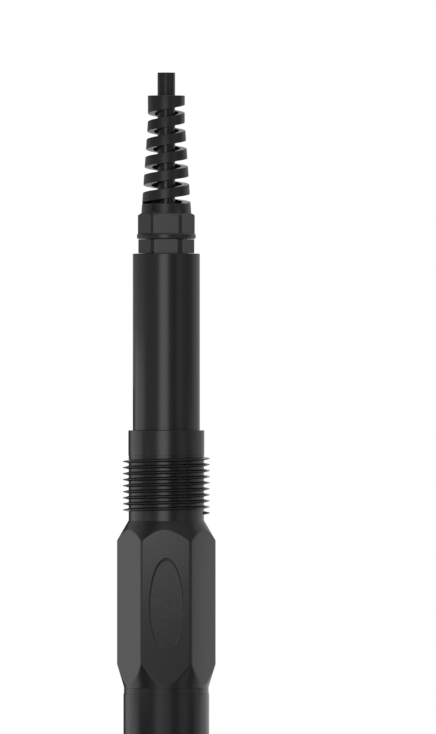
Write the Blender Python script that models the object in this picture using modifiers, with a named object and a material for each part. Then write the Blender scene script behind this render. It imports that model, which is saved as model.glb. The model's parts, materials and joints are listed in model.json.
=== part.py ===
"""Lead ion sensor: a cabled probe with a G3/4 thread, a hex grip and a guarded sensing end.

The axis of the sensor is Z, with the cable at the top. Z is 0 on the plane where the thread's
neck meets the hex grip, and the grip's oval recess faces -Y. Sizes are in millimetres, and each
shape is built in metres.
"""
import math

import bmesh
import bpy
from mathutils import Matrix, Vector

MM = 0.001

# Lengths along the axis, as on the sensor's dimension drawing
TUBE_LENGTH = 53.0
THREAD_SECTION = 27.0
BODY_SECTION = 87.0
HEAD_SECTION = 75.0

# Clearances
SEAT_GAP = 0.1
SEAL_GAP = 0.15
FIT_GAP = 0.3
BOARD_GAP = 0.1

# Facets round one turn
ROUND_STEPS = 30
SMALL_STEPS = 24
WIRE_SIDES = 2
WIRE_SPAN_STEPS = 4
RECESS_STEPS = 32

# Rear tube
TUBE_RADIUS = 10.07
TUBE_END_WALL = 8.0
TUBE_EDGE = 0.25
TUBE_SPIGOT_STEP = 0.97
TUBE_SPIGOT_WALL = 1.9
TUBE_SPIGOT_LENGTH = 17.5
TUBE_GROOVE_DROP = 4.0

# Grip body: collar, thread, neck and hex
COLLAR_STEP = 1.33
COLLAR_EDGE = 0.2
COLLAR_LENGTH = 7.6
CORE_STEP = 0.1
THREAD_HEIGHT = 1.8
THREAD_PITCH = 1.814
THREAD_TURNS = 9.16
THREAD_START = 2.2
THREAD_BASE = 1.1
THREAD_TIP = 0.2
THREAD_SINK = 0.35
THREAD_FADE_TURNS = 0.12
GRIP_ACROSS_FLATS = 25.9
GRIP_CORNER_RADIUS = 14.86
GRIP_LENGTH = 50.0
GRIP_TOP_ANGLE = 30.0
GRIP_FOOT_ANGLE = 16.8
SHOULDER_STEP = 0.15
SHOULDER_LENGTH = 2.0
GRIP_BORE = 8.0
GRIP_FLOOR_GAP = 0.3
RECESS_WIDTH = 10.0
RECESS_HEIGHT = 28.1
RECESS_DEPTH = 0.4
RECESS_DROP = 25.3

# Lower barrel and the joint between grip and barrel
BARREL_RADIUS = 12.87
BARREL_EDGE = 0.3
BARREL_WALL = 1.67
BARREL_SPIGOT_LENGTH = 14.0
BARREL_GROOVE_DROP = 4.5
BARREL_RIB_HEIGHT = 2.5
BARREL_RIB_DEPTH = 1.2
SPIGOT_CHAMFER = 0.6

# O-rings, by the radius of their section
TUBE_ORING = 0.6
BARREL_ORING = 0.6
CARRIER_ORING = 0.6
GLAND_ORING = 0.4
ORING_SIDES = 6

# Cable
CABLE_RADIUS = 2.65
CABLE_BORE = 1.95
CABLE_STUB = 6.9
CABLE_TAIL = 4.0
CORE_WIRE_RADIUS = 0.6
CORE_WIRE_OFFSET = 1.06
CORE_LEAD_IN = 2.4
CORE_STAGGER = 1.4

# Cable gland
NUT_ACROSS_FLATS = 15.2
NUT_CORNER_RADIUS = 8.53
NUT_SKIRT_RADIUS = 8.83
NUT_SKIRT_HEIGHT = 1.6
NUT_SKIRT_ROUND = 0.45
NUT_HEX_HEIGHT = 5.3
NUT_CHAMFER = 0.8
NUT_COLLAR_HEIGHT = 2.9
NUT_COLLAR_RADIUS = 7.5
NUT_INNER_HEIGHT = 8.2
GLAND_HEX_HEIGHT = 4.2
GLAND_ACROSS_FLATS = 15.15
GLAND_CORNER_RADIUS = 8.4
GLAND_STUB_HEIGHT = 6.4
GLAND_STUB_RADIUS = 6.0
GLAND_SEAL_BORE = 4.9
GLAND_SEAL_DEPTH = 7.6
GLAND_TAIL_RADIUS = 6.2
GLAND_TAIL_LENGTH = 7.0
GLAND_TAIL_GAP = 0.2
WASHER_HEIGHT = 1.0
WASHER_SIDE_GAP = 0.5

# Spiral bend guard on the nut
SPIRAL_HEIGHT = 32.4
SPIRAL_TOP_RADIUS = 5.56
SPIRAL_STRAIGHT = 7.6
SPIRAL_RING_HEIGHT = 2.8
SPIRAL_PITCH = 5.36
SPIRAL_BAND = 3.0
SPIRAL_BORE_TOP = 3.3
SPIRAL_BORE_FOOT = 4.8
SPIRAL_INSET = 0.06
SPIRAL_START_DROP = 2.35
SPIRAL_END_RISE = 0.3
SPIRAL_START_ANGLE = -90.0

# Electrode carrier and probes
CARRIER_LENGTH = 11.7
CARRIER_GROOVE_DROP = 4.0
PROBE_GAP = 0.15
PROBE_RISE = 2.0
PROBE_WALL = 1.4
PROBE_SPACING = 1.6
LEAD_RADIUS = 4.0
LEAD_REACH = 54.0
MEMBRANE_WALL = 1.1
MEMBRANE_THICKNESS = 2.0
MEMBRANE_RECESS = 0.2
REFERENCE_REACH = 52.0
JUNCTION_WALL = 1.6
JUNCTION_LENGTH = 3.0
TEMPERATURE_RADIUS = 1.75
TEMPERATURE_Y = 6.0
TEMPERATURE_REACH = 50.0
TEMPERATURE_WALL = 0.5
PROBE_WIRE_RADIUS = 0.45
PROBE_WIRE_BORE = 0.75

# Guard round the sensing end
GUARD_SPIGOT_WALL = 1.5
GUARD_WALL = 1.87
GUARD_LIP = 4.0
GUARD_LIP_DEPTH = 1.4
GUARD_NOSE_ROUND = 1.6
GUARD_SLOT_WIDTH = 9.0
GUARD_SLOT_TOP_DROP = 12.0
GUARD_SLOT_FOOT_RISE = 12.0
GUARD_SLOT_ARC_STEPS = 6

# Circuit board
BOARD_SIDE_GAP = 0.27
BOARD_THICKNESS = 1.2
BOARD_LENGTH = 100.0
BOARD_TOP_GAP = 10.0

# Parts on the board: width along X, depth off the board's face, height along Z
TERMINAL_SIZE = (9.6, 4.2, 6.0)
TERMINAL_DROP = 1.0
TERMINAL_WIRE_Y = -2.9
TERMINAL_WAYS = 4
SOCKET_SIZE = (8.4, 3.0, 5.0)
SOCKET_RISE = 1.5
SOCKET_WIRE_Y = -2.2
SOCKET_WAYS = 3
WIRE_LEAD_IN = 4.0
CHIP_EDGE = 0.2
BLOCK_EDGE = 0.3

# Name: size, drop of its upper end below the board's top, and X
CHIPS = {
    "bus_chip": ((4.0, 1.5, 5.0), 8.5, -2.4),
    "isolating_converter": ((9.0, 4.0, 10.0), 16.0, 0.0),
    "controller_chip": ((7.0, 1.2, 7.0), 34.0, 0.0),
    "amplifier_chip": ((5.0, 1.4, 4.0), 70.0, 0.0),
}
CRYSTAL_SIZE = (3.2, 1.0, 2.5)
CRYSTAL_DROP = 43.5

# Name: radius, length off the board, drop of its centre below the board's top, and X
CAPACITORS = {
    "supply_capacitor": (2.0, 3.6, 11.0, 2.4),
    "filter_capacitor": (1.6, 3.4, 56.0, 1.0),
}
CAPACITOR_STEPS = 16

# Colours of the probes' wires
PROBE_WIRE_COLORS = {"lead_wire": "white", "reference_wire": "black", "temperature_wire": "red"}

# Levels and radii that follow from the sizes above
COLLAR_TOP = THREAD_SECTION
TUBE_TOP = COLLAR_TOP + TUBE_LENGTH
TUBE_SPIGOT_RADIUS = TUBE_RADIUS - TUBE_SPIGOT_STEP
TUBE_BORE = TUBE_SPIGOT_RADIUS - TUBE_SPIGOT_WALL
COLLAR_RADIUS = TUBE_RADIUS + COLLAR_STEP
CORE_RADIUS = COLLAR_RADIUS - CORE_STEP
THREAD_CREST_RADIUS = CORE_RADIUS + THREAD_HEIGHT
GRIP_FOOT = -GRIP_LENGTH
BARREL_TOP = GRIP_FOOT - SHOULDER_LENGTH
BARREL_FOOT = -BODY_SECTION
HEAD_FOOT = BARREL_FOOT - HEAD_SECTION
TUBE_SPIGOT_FOOT = COLLAR_TOP - TUBE_SPIGOT_LENGTH
SOCKET_FLOOR = TUBE_SPIGOT_FOOT - GRIP_FLOOR_GAP
TUBE_ROOM_TOP = TUBE_TOP - TUBE_END_WALL
BARREL_BORE = BARREL_RADIUS - BARREL_WALL
BARREL_RIB_RADIUS = BARREL_BORE - BARREL_RIB_DEPTH
SHOULDER_RADIUS = BARREL_RADIUS - SHOULDER_STEP
GRIP_SPIGOT_RADIUS = BARREL_BORE - FIT_GAP
GRIP_SPIGOT_FOOT = BARREL_TOP - BARREL_SPIGOT_LENGTH
RIB_TOP = GRIP_SPIGOT_FOOT - FIT_GAP
RIB_FOOT = RIB_TOP - BARREL_RIB_HEIGHT
CARRIER_RADIUS = BARREL_BORE - FIT_GAP
CARRIER_TOP = RIB_FOOT - SEAT_GAP
CARRIER_FOOT = CARRIER_TOP - CARRIER_LENGTH
PROBE_RIM = BARREL_BORE - 2 * (SEAL_GAP + CARRIER_ORING) - PROBE_WALL
REFERENCE_RADIUS = PROBE_RIM - LEAD_RADIUS - PROBE_SPACING / 2
MEMBRANE_RADIUS = LEAD_RADIUS - MEMBRANE_WALL
JUNCTION_RADIUS = REFERENCE_RADIUS - JUNCTION_WALL
LEAD_X = LEAD_RADIUS - PROBE_RIM
REFERENCE_X = PROBE_RIM - REFERENCE_RADIUS
GUARD_SPIGOT_RADIUS = BARREL_BORE - FIT_GAP
GUARD_SPIGOT_BORE = GUARD_SPIGOT_RADIUS - GUARD_SPIGOT_WALL
GUARD_BORE = BARREL_RADIUS - GUARD_WALL
GUARD_MOUTH = GUARD_BORE - GUARD_LIP_DEPTH
GLAND_HEX_FOOT = TUBE_TOP + SEAT_GAP
GLAND_HEX_TOP = GLAND_HEX_FOOT + GLAND_HEX_HEIGHT
GLAND_STUB_TOP = GLAND_HEX_TOP + GLAND_STUB_HEIGHT
GLAND_TAIL_FOOT = GLAND_HEX_FOOT - GLAND_TAIL_LENGTH
SEAL_FOOT = GLAND_STUB_TOP - GLAND_SEAL_DEPTH
NUT_FOOT = GLAND_HEX_TOP + SEAT_GAP
SKIRT_TOP = NUT_FOOT + NUT_SKIRT_HEIGHT
NUT_HEX_TOP = SKIRT_TOP + NUT_HEX_HEIGHT
NUT_CHAMFER_TOP = NUT_HEX_TOP + NUT_CHAMFER
NUT_COLLAR_TOP = NUT_CHAMFER_TOP + NUT_COLLAR_HEIGHT
NUT_SHOULDER = NUT_FOOT + NUT_INNER_HEIGHT
NUT_THREAD_BORE = GLAND_STUB_RADIUS + FIT_GAP
WASHER_RADIUS = NUT_THREAD_BORE - WASHER_SIDE_GAP
SPIRAL_TOP = NUT_COLLAR_TOP + SPIRAL_HEIGHT
CABLE_TOP = SPIRAL_TOP + CABLE_STUB
CABLE_PASSAGE = CABLE_RADIUS + FIT_GAP
CABLE_FOOT = GLAND_TAIL_FOOT - CABLE_TAIL
BOARD_WIDTH = 2 * math.sqrt((TUBE_BORE - BOARD_SIDE_GAP) ** 2 - (BOARD_THICKNESS / 2) ** 2)
BOARD_TOP = TUBE_ROOM_TOP - BOARD_TOP_GAP
BOARD_FOOT = BOARD_TOP - BOARD_LENGTH
BOARD_FACE = -BOARD_THICKNESS / 2 - BOARD_GAP

# Colour (linear), roughness and metallic value of each material
MATERIALS = {
    "black_body": ((0.022, 0.022, 0.023), 0.42, 0.0),
    "black_gland": ((0.028, 0.029, 0.028), 0.5, 0.0),
    "black_cable": ((0.02, 0.02, 0.02), 0.55, 0.0),
    "black_rubber": ((0.012, 0.012, 0.012), 0.7, 0.0),
    "red_core": ((0.55, 0.03, 0.02), 0.45, 0.0),
    "black_core": ((0.015, 0.015, 0.015), 0.45, 0.0),
    "green_core": ((0.03, 0.3, 0.06), 0.45, 0.0),
    "white_core": ((0.75, 0.75, 0.72), 0.45, 0.0),
    "grey_carrier": ((0.11, 0.11, 0.115), 0.5, 0.0),
    "probe_resin": ((0.05, 0.05, 0.055), 0.35, 0.0),
    "crystal": ((0.12, 0.12, 0.13), 0.2, 0.3),
    "junction": ((0.82, 0.8, 0.74), 0.8, 0.0),
    "steel": ((0.55, 0.55, 0.56), 0.28, 1.0),
    "board": ((0.01, 0.11, 0.05), 0.4, 0.0),
    "component": ((0.018, 0.018, 0.018), 0.55, 0.0),
    "terminal": ((0.02, 0.16, 0.07), 0.45, 0.0),
    "can": ((0.6, 0.6, 0.62), 0.3, 1.0),
}


def clear_scene():
    """Remove what the start-up scene holds."""
    for obj in list(bpy.data.objects):
        bpy.data.objects.remove(obj, do_unlink=True)


def new_collection(name):
    """A collection linked to the scene."""
    collection = bpy.data.collections.new(name)
    bpy.context.scene.collection.children.link(collection)
    return collection


clear_scene()
PARTS = new_collection("lead_ion_sensor")
CUTTERS = new_collection("cutters")


def material(slot):
    """The named Principled material, made on first use."""
    found = bpy.data.materials.get(slot)
    if found:
        return found
    color, roughness, metallic = MATERIALS[slot]
    made = bpy.data.materials.new(slot)
    made.use_nodes = True
    shader = made.node_tree.nodes["Principled BSDF"]
    shader.inputs["Base Color"].default_value = (*color, 1.0)
    shader.inputs["Roughness"].default_value = roughness
    shader.inputs["Metallic"].default_value = metallic
    return made


def add_object(name, data, slot=None):
    """Link an object: a part when it has a material slot, and a hidden cutter when it has none."""
    obj = bpy.data.objects.new(name, data)
    if slot:
        PARTS.objects.link(obj)
        data.materials.append(material(slot))
    else:
        CUTTERS.objects.link(obj)
        obj.hide_render = True
        obj.display_type = "WIRE"
    return obj


def turned(name, outline, slot=None, steps=ROUND_STEPS, at=(0.0, 0.0)):
    """Turn a closed outline of (radius, z) points, listed down its outer side and up its inner side."""
    mesh = bpy.data.meshes.new(name)
    points = [(radius * MM, 0.0, z * MM) for radius, z in outline]
    pairs = [(i, (i + 1) % len(points)) for i in range(len(points))]
    edges = [pair for pair in pairs if any(outline[i][0] > 0 for i in pair)]
    mesh.from_pydata(points, edges, [])
    obj = add_object(name, mesh, slot)
    obj.location = (at[0] * MM, at[1] * MM, 0.0)
    screw = obj.modifiers.new("turn", "SCREW")
    screw.steps = steps
    screw.render_steps = steps
    screw.use_merge_vertices = True
    screw.merge_threshold = 1e-6
    screw.use_smooth_shade = steps > 6
    return obj


def tube(name, outer, inner, top, foot, slot=None, steps=ROUND_STEPS, at=(0.0, 0.0)):
    """A plain turned tube."""
    outline = [(outer, top), (outer, foot), (inner, foot), (inner, top)]
    return turned(name, outline, slot, steps, at)


def rod(name, radius, top, foot, slot=None, steps=SMALL_STEPS, at=(0.0, 0.0)):
    """A solid round rod from a cone primitive of equal radii."""
    mesh = bpy.data.meshes.new(name)
    shape = bmesh.new()
    bmesh.ops.create_cone(
        shape, cap_ends=True, segments=steps,
        radius1=radius * MM, radius2=radius * MM, depth=(top - foot) * MM,
    )
    shape.to_mesh(mesh)
    shape.free()
    obj = add_object(name, mesh, slot)
    obj.location = (at[0] * MM, at[1] * MM, (top + foot) / 2 * MM)
    return obj


def box(name, width, depth, height, centre, slot=None, edge=0.0):
    """A block from a cube primitive, with its upright edges eased when an edge size is given."""
    mesh = bpy.data.meshes.new(name)
    shape = bmesh.new()
    bmesh.ops.create_cube(shape, size=1.0)
    bmesh.ops.scale(shape, vec=Vector((width, depth, height)) * MM, verts=shape.verts)
    shape.to_mesh(mesh)
    shape.free()
    obj = add_object(name, mesh, slot)
    obj.location = Vector(centre) * MM
    if edge:
        bevel = obj.modifiers.new("edges", "BEVEL")
        bevel.width = edge * MM
        bevel.segments = 1
    return obj


def prism(name, outline, low, high):
    """A hidden cutter: a flat outline of (x, z) points, drawn out along Y from low to high."""
    mesh = bpy.data.meshes.new(name)
    shape = bmesh.new()
    corners = [shape.verts.new((x * MM, low * MM, z * MM)) for x, z in outline]
    face = shape.faces.new(corners)
    grown = bmesh.ops.extrude_face_region(shape, geom=[face])
    moved = [item for item in grown["geom"] if isinstance(item, bmesh.types.BMVert)]
    bmesh.ops.translate(shape, vec=(0.0, (high - low) * MM, 0.0), verts=moved)
    bmesh.ops.recalc_face_normals(shape, faces=shape.faces)
    shape.to_mesh(mesh)
    shape.free()
    return add_object(name, mesh)


def boolean(obj, other, operation):
    """Cut, join or intersect an object with a hidden one."""
    step = obj.modifiers.new(f"{operation.lower()}_{other.name}", "BOOLEAN")
    step.operation = operation
    step.solver = "EXACT"
    step.object = other
    return step


def ring_seal(name, minor, centre_radius, z):
    """A rubber O-ring with a round section."""
    outline = []
    for i in range(ORING_SIDES):
        angle = 2 * math.pi * (i + 0.5) / ORING_SIDES
        outline.append((centre_radius + minor * math.cos(angle), z - minor * math.sin(angle)))
    return turned(name, outline, "black_rubber", SMALL_STEPS)


def groove(spigot_radius, floor_radius, z, half_height):
    """The points of a square groove in a spigot, top to bottom."""
    return [
        (spigot_radius, z + half_height),
        (floor_radius, z + half_height),
        (floor_radius, z - half_height),
        (spigot_radius, z - half_height),
    ]


def groove_floor(bore, minor):
    """The groove floor that leaves room for an O-ring between spigot and bore."""
    return bore - 2 * SEAL_GAP - 2 * minor


def hex_flats(name, across_flats, reach, top, foot):
    """A hidden cutter that leaves a hex with a flat to the front: a ring turned in six steps."""
    corner = across_flats / 2 / math.cos(math.pi / 6)
    return tube(name, reach, corner, top, foot, steps=6)


def helix_band(name, section, start, turns, pitch, steps, slot=None):
    """A right-handed band: section(z, share) gives the (radius, z) corners of its outline there."""
    shape = bmesh.new()
    count = round(turns * steps)
    rings = []
    for i in range(count + 1):
        angle = 2 * math.pi * i / steps
        z = start + pitch * i / steps
        turn = Matrix.Rotation(angle, 3, "Z")
        corners = section(z, i / count)
        rings.append([shape.verts.new(turn @ Vector((r, 0.0, h)) * MM) for r, h in corners])
    sides = len(rings[0])
    for lower, upper in zip(rings, rings[1:]):
        for k in range(sides):
            m = (k + 1) % sides
            shape.faces.new((lower[k], lower[m], upper[m], upper[k]))
    shape.faces.new(rings[0])
    shape.faces.new(rings[-1])
    bmesh.ops.recalc_face_normals(shape, faces=shape.faces)
    mesh = bpy.data.meshes.new(name)
    shape.to_mesh(mesh)
    shape.free()
    return add_object(name, mesh, slot)


def smooth_route(points, per_span):
    """Points of a Catmull-Rom curve through the given ones."""
    ends = [2 * points[0] - points[1], *points, 2 * points[-1] - points[-2]]
    route = []
    for a, b, c, d in zip(ends, ends[1:], ends[2:], ends[3:]):
        for i in range(per_span):
            t = i / per_span
            lift = (2 * b, (c - a) * t, (2 * a - 5 * b + 4 * c - d) * t ** 2)
            route.append(0.5 * (lift[0] + lift[1] + lift[2] + (3 * b - a - 3 * c + d) * t ** 3))
    route.append(points[-1])
    return route


def wire(name, start, points, radius, slot):
    """A round wire, straight from its start and then along a smooth route through the points."""
    route = [Vector(start), *smooth_route([Vector(point) for point in points], WIRE_SPAN_STEPS)]
    curve = bpy.data.curves.new(name, "CURVE")
    curve.dimensions = "3D"
    curve.bevel_depth = radius * MM
    curve.bevel_resolution = WIRE_SIDES
    curve.use_fill_caps = True
    spline = curve.splines.new("POLY")
    spline.points.add(len(route) - 1)
    for place, point in zip(spline.points, route):
        place.co = (*(point * MM), 1.0)
    return add_object(name, curve, slot)


def build_rear_tube():
    """Tube between gland and grip: end wall tapped for the gland, spigot with an O-ring groove."""
    shoulder = COLLAR_TOP + SEAT_GAP
    groove_z = COLLAR_TOP - TUBE_GROOVE_DROP
    floor = groove_floor(TUBE_SPIGOT_RADIUS + FIT_GAP, TUBE_ORING)
    seat_radius = GLAND_TAIL_RADIUS + 3 * SEAL_GAP + 2 * GLAND_ORING
    seat_floor = TUBE_TOP - 2 * GLAND_ORING - SEAL_GAP
    outline = [
        (TUBE_RADIUS - TUBE_EDGE, TUBE_TOP),
        (TUBE_RADIUS, TUBE_TOP - TUBE_EDGE),
        (TUBE_RADIUS, shoulder),
        (TUBE_SPIGOT_RADIUS, shoulder),
        *groove(TUBE_SPIGOT_RADIUS, floor, groove_z, TUBE_ORING + FIT_GAP),
        (TUBE_SPIGOT_RADIUS, TUBE_SPIGOT_FOOT + SPIGOT_CHAMFER),
        (TUBE_SPIGOT_RADIUS - SPIGOT_CHAMFER, TUBE_SPIGOT_FOOT),
        (TUBE_BORE, TUBE_SPIGOT_FOOT),
        (TUBE_BORE, TUBE_ROOM_TOP),
        (GLAND_TAIL_RADIUS + GLAND_TAIL_GAP, TUBE_ROOM_TOP),
        (GLAND_TAIL_RADIUS + GLAND_TAIL_GAP, seat_floor),
        (seat_radius, seat_floor),
        (seat_radius, TUBE_TOP),
    ]
    turned("rear_tube", outline, "black_body")
    centre = TUBE_SPIGOT_RADIUS + FIT_GAP - SEAL_GAP - TUBE_ORING
    ring_seal("tube_oring", TUBE_ORING, centre, groove_z)
    centre = (GLAND_TAIL_RADIUS + GLAND_TAIL_GAP + seat_radius) / 2
    ring_seal("gland_oring", GLAND_ORING, centre, TUBE_TOP - GLAND_ORING)


def thread_section(z, share):
    """Corners of the G3/4 ridge: sharp and thin, on a flat root, fading out at its upper end."""
    last = 1 - THREAD_FADE_TURNS / THREAD_TURNS
    fade = max(0.0, (share - last) / (1 - last))
    crest = THREAD_CREST_RADIUS + (CORE_RADIUS - THREAD_SINK / 2 - THREAD_CREST_RADIUS) * fade
    base = CORE_RADIUS - THREAD_SINK
    return [
        (base, z - THREAD_BASE / 2),
        (crest, z - THREAD_TIP / 2),
        (crest, z + THREAD_TIP / 2),
        (base, z + THREAD_BASE / 2),
    ]


def build_grip_body():
    """Collar, thread, neck and hex grip with the oval recess, and the spigot for the barrel."""
    collar_foot = COLLAR_TOP - COLLAR_LENGTH
    corner = GRIP_CORNER_RADIUS
    top_run = (corner - CORE_RADIUS) / math.tan(math.radians(GRIP_TOP_ANGLE))
    foot_run = (corner - SHOULDER_RADIUS) / math.tan(math.radians(GRIP_FOOT_ANGLE))
    groove_z = BARREL_TOP - BARREL_GROOVE_DROP
    floor = groove_floor(BARREL_BORE, BARREL_ORING)
    socket = TUBE_SPIGOT_RADIUS + FIT_GAP
    outline = [
        (COLLAR_RADIUS - COLLAR_EDGE, COLLAR_TOP),
        (COLLAR_RADIUS, COLLAR_TOP - COLLAR_EDGE),
        (COLLAR_RADIUS, collar_foot),
        (CORE_RADIUS, collar_foot),
        (CORE_RADIUS, 0.0),
        (corner, -top_run),
        (corner, GRIP_FOOT + foot_run),
        (SHOULDER_RADIUS, GRIP_FOOT),
        (SHOULDER_RADIUS, BARREL_TOP),
        (GRIP_SPIGOT_RADIUS, BARREL_TOP),
        *groove(GRIP_SPIGOT_RADIUS, floor, groove_z, BARREL_ORING + FIT_GAP),
        (GRIP_SPIGOT_RADIUS, GRIP_SPIGOT_FOOT + SPIGOT_CHAMFER),
        (GRIP_SPIGOT_RADIUS - SPIGOT_CHAMFER, GRIP_SPIGOT_FOOT),
        (GRIP_BORE, GRIP_SPIGOT_FOOT),
        (GRIP_BORE, SOCKET_FLOOR),
        (socket, SOCKET_FLOOR),
        (socket, COLLAR_TOP),
    ]
    grip = turned("grip_body", outline, "black_body")
    margin = SHOULDER_LENGTH / 4
    flats = hex_flats(
        "grip_flats", GRIP_ACROSS_FLATS, 2 * corner, -margin, GRIP_FOOT - margin,
    )
    boolean(grip, flats, "DIFFERENCE")
    recess = rod("grip_recess", 1.0, 1.0, -1.0, steps=RECESS_STEPS)
    recess.data.transform(Matrix.Rotation(math.pi / 2, 4, "X"))
    recess.data.transform(
        Matrix.Diagonal((RECESS_WIDTH / 2, RECESS_DEPTH, RECESS_HEIGHT / 2, 1.0))
    )
    recess.location = Vector((0.0, -GRIP_ACROSS_FLATS / 2, -RECESS_DROP)) * MM
    boolean(grip, recess, "DIFFERENCE")
    ridge = helix_band(
        "grip_thread", thread_section, THREAD_START, THREAD_TURNS, THREAD_PITCH, ROUND_STEPS,
    )
    boolean(grip, ridge, "UNION")
    centre = BARREL_BORE - SEAL_GAP - BARREL_ORING
    ring_seal("barrel_oring", BARREL_ORING, centre, groove_z)


def build_sensor_barrel():
    """Lower barrel: a tube with an inner rib between the grip's spigot and the carrier."""
    top = BARREL_TOP - SEAT_GAP
    outline = [
        (BARREL_RADIUS - BARREL_EDGE, top),
        (BARREL_RADIUS, top - BARREL_EDGE),
        (BARREL_RADIUS, BARREL_FOOT),
        (BARREL_BORE, BARREL_FOOT),
        (BARREL_BORE, RIB_FOOT),
        (BARREL_RIB_RADIUS, RIB_FOOT),
        (BARREL_RIB_RADIUS, RIB_TOP),
        (BARREL_BORE, RIB_TOP),
        (BARREL_BORE, top),
    ]
    turned("sensor_barrel", outline, "black_body")


def carrier_groove():
    """Level and floor of the carrier's O-ring groove."""
    return CARRIER_TOP - CARRIER_GROOVE_DROP, groove_floor(BARREL_BORE, CARRIER_ORING)


def build_electrode_carrier():
    """Plug in the barrel that holds the three probes side by side."""
    groove_z, floor = carrier_groove()
    outline = [
        (0.0, CARRIER_TOP),
        (CARRIER_RADIUS - SPIGOT_CHAMFER, CARRIER_TOP),
        (CARRIER_RADIUS, CARRIER_TOP - SPIGOT_CHAMFER),
        *groove(CARRIER_RADIUS, floor, groove_z, CARRIER_ORING + FIT_GAP),
        (CARRIER_RADIUS, CARRIER_FOOT),
        (0.0, CARRIER_FOOT),
    ]
    carrier = turned("electrode_carrier", outline, "grey_carrier")
    probes = (
        ("lead_hole", LEAD_RADIUS, (LEAD_X, 0.0)),
        ("reference_hole", REFERENCE_RADIUS, (REFERENCE_X, 0.0)),
        ("temperature_hole", TEMPERATURE_RADIUS, (0.0, TEMPERATURE_Y)),
    )
    for name, radius, at in probes:
        hole = rod(name, radius + PROBE_GAP, CARRIER_TOP + 1, CARRIER_FOOT - 1, at=at)
        boolean(carrier, hole, "DIFFERENCE")
    centre = BARREL_BORE - SEAL_GAP - CARRIER_ORING
    ring_seal("carrier_oring", CARRIER_ORING, centre, groove_z)


def build_probes():
    """Lead electrode with its crystal, reference electrode with its junction, temperature sheath."""
    top = CARRIER_TOP + PROBE_RISE
    lead_foot = BARREL_FOOT - LEAD_REACH
    pocket = MEMBRANE_RADIUS + SEAL_GAP
    pocket_floor = lead_foot + MEMBRANE_RECESS + MEMBRANE_THICKNESS + SEAL_GAP
    outline = [
        (LEAD_RADIUS, top),
        (LEAD_RADIUS, lead_foot + MEMBRANE_RECESS),
        (LEAD_RADIUS - MEMBRANE_RECESS, lead_foot),
        (pocket, lead_foot),
        (pocket, pocket_floor),
        (PROBE_WIRE_BORE, pocket_floor),
        (PROBE_WIRE_BORE, top),
    ]
    turned("lead_electrode", outline, "probe_resin", SMALL_STEPS, at=(LEAD_X, 0.0))
    membrane_foot = lead_foot + MEMBRANE_RECESS
    rod(
        "lead_membrane", MEMBRANE_RADIUS, membrane_foot + MEMBRANE_THICKNESS, membrane_foot,
        "crystal", at=(LEAD_X, 0.0),
    )
    reference_foot = BARREL_FOOT - REFERENCE_REACH
    seat = JUNCTION_RADIUS + SEAL_GAP
    seat_floor = reference_foot + JUNCTION_LENGTH + SEAL_GAP
    outline = [
        (REFERENCE_RADIUS, top),
        (REFERENCE_RADIUS, reference_foot + MEMBRANE_RECESS),
        (REFERENCE_RADIUS - MEMBRANE_RECESS, reference_foot),
        (seat, reference_foot),
        (seat, seat_floor),
        (PROBE_WIRE_BORE, seat_floor),
        (PROBE_WIRE_BORE, top),
    ]
    turned("reference_electrode", outline, "probe_resin", SMALL_STEPS, at=(REFERENCE_X, 0.0))
    rod(
        "reference_junction", JUNCTION_RADIUS, reference_foot + JUNCTION_LENGTH, reference_foot,
        "junction", at=(REFERENCE_X, 0.0),
    )
    tip = BARREL_FOOT - TEMPERATURE_REACH
    inner = TEMPERATURE_RADIUS - TEMPERATURE_WALL
    outline = [
        (TEMPERATURE_RADIUS, top),
        (TEMPERATURE_RADIUS, tip + TEMPERATURE_WALL),
        (TEMPERATURE_RADIUS - TEMPERATURE_WALL, tip),
        (0.0, tip),
        (0.0, tip + 2 * TEMPERATURE_WALL),
        (inner, tip + 2 * TEMPERATURE_WALL),
        (inner, top),
    ]
    turned("temperature_probe", outline, "steel", SMALL_STEPS, at=(0.0, TEMPERATURE_Y))


def build_sensor_guard():
    """Guard tube with four long slots, an open mouth and a spigot in the barrel's end."""
    top = BARREL_FOOT - SEAT_GAP
    spigot_top = CARRIER_FOOT - SEAT_GAP
    thickness = GUARD_BORE - GUARD_SPIGOT_BORE
    outline = [(GUARD_SPIGOT_RADIUS, spigot_top), (GUARD_SPIGOT_RADIUS, top)]
    outline += [(BARREL_RADIUS, top), (BARREL_RADIUS, HEAD_FOOT + GUARD_NOSE_ROUND)]
    for i in (1, 2, 3):
        angle = i * math.pi / 6
        radius = BARREL_RADIUS - GUARD_NOSE_ROUND * (1 - math.cos(angle))
        outline.append((radius, HEAD_FOOT + GUARD_NOSE_ROUND * (1 - math.sin(angle))))
    outline += [
        (GUARD_MOUTH, HEAD_FOOT),
        (GUARD_MOUTH, HEAD_FOOT + GUARD_LIP),
        (GUARD_BORE, HEAD_FOOT + GUARD_LIP + GUARD_BORE - GUARD_MOUTH),
        (GUARD_BORE, top - thickness),
        (GUARD_SPIGOT_BORE, top),
        (GUARD_SPIGOT_BORE, spigot_top),
    ]
    guard = turned("sensor_guard", outline, "black_body")
    half = GUARD_SLOT_WIDTH / 2
    upper = top - GUARD_SLOT_TOP_DROP - half
    lower = HEAD_FOOT + GUARD_SLOT_FOOT_RISE + half
    stadium = []
    for centre, start in ((upper, 0.0), (lower, math.pi)):
        for i in range(GUARD_SLOT_ARC_STEPS + 1):
            angle = start + math.pi * i / GUARD_SLOT_ARC_STEPS
            stadium.append((half * math.cos(angle), centre + half * math.sin(angle)))
    reach = 2 * BARREL_RADIUS
    for name, turn in (("guard_slots_y", 0.0), ("guard_slots_x", math.pi / 2)):
        slots = prism(name, stadium, -reach, reach)
        slots.rotation_euler = (0.0, 0.0, turn)
        boolean(guard, slots, "DIFFERENCE")


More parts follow.
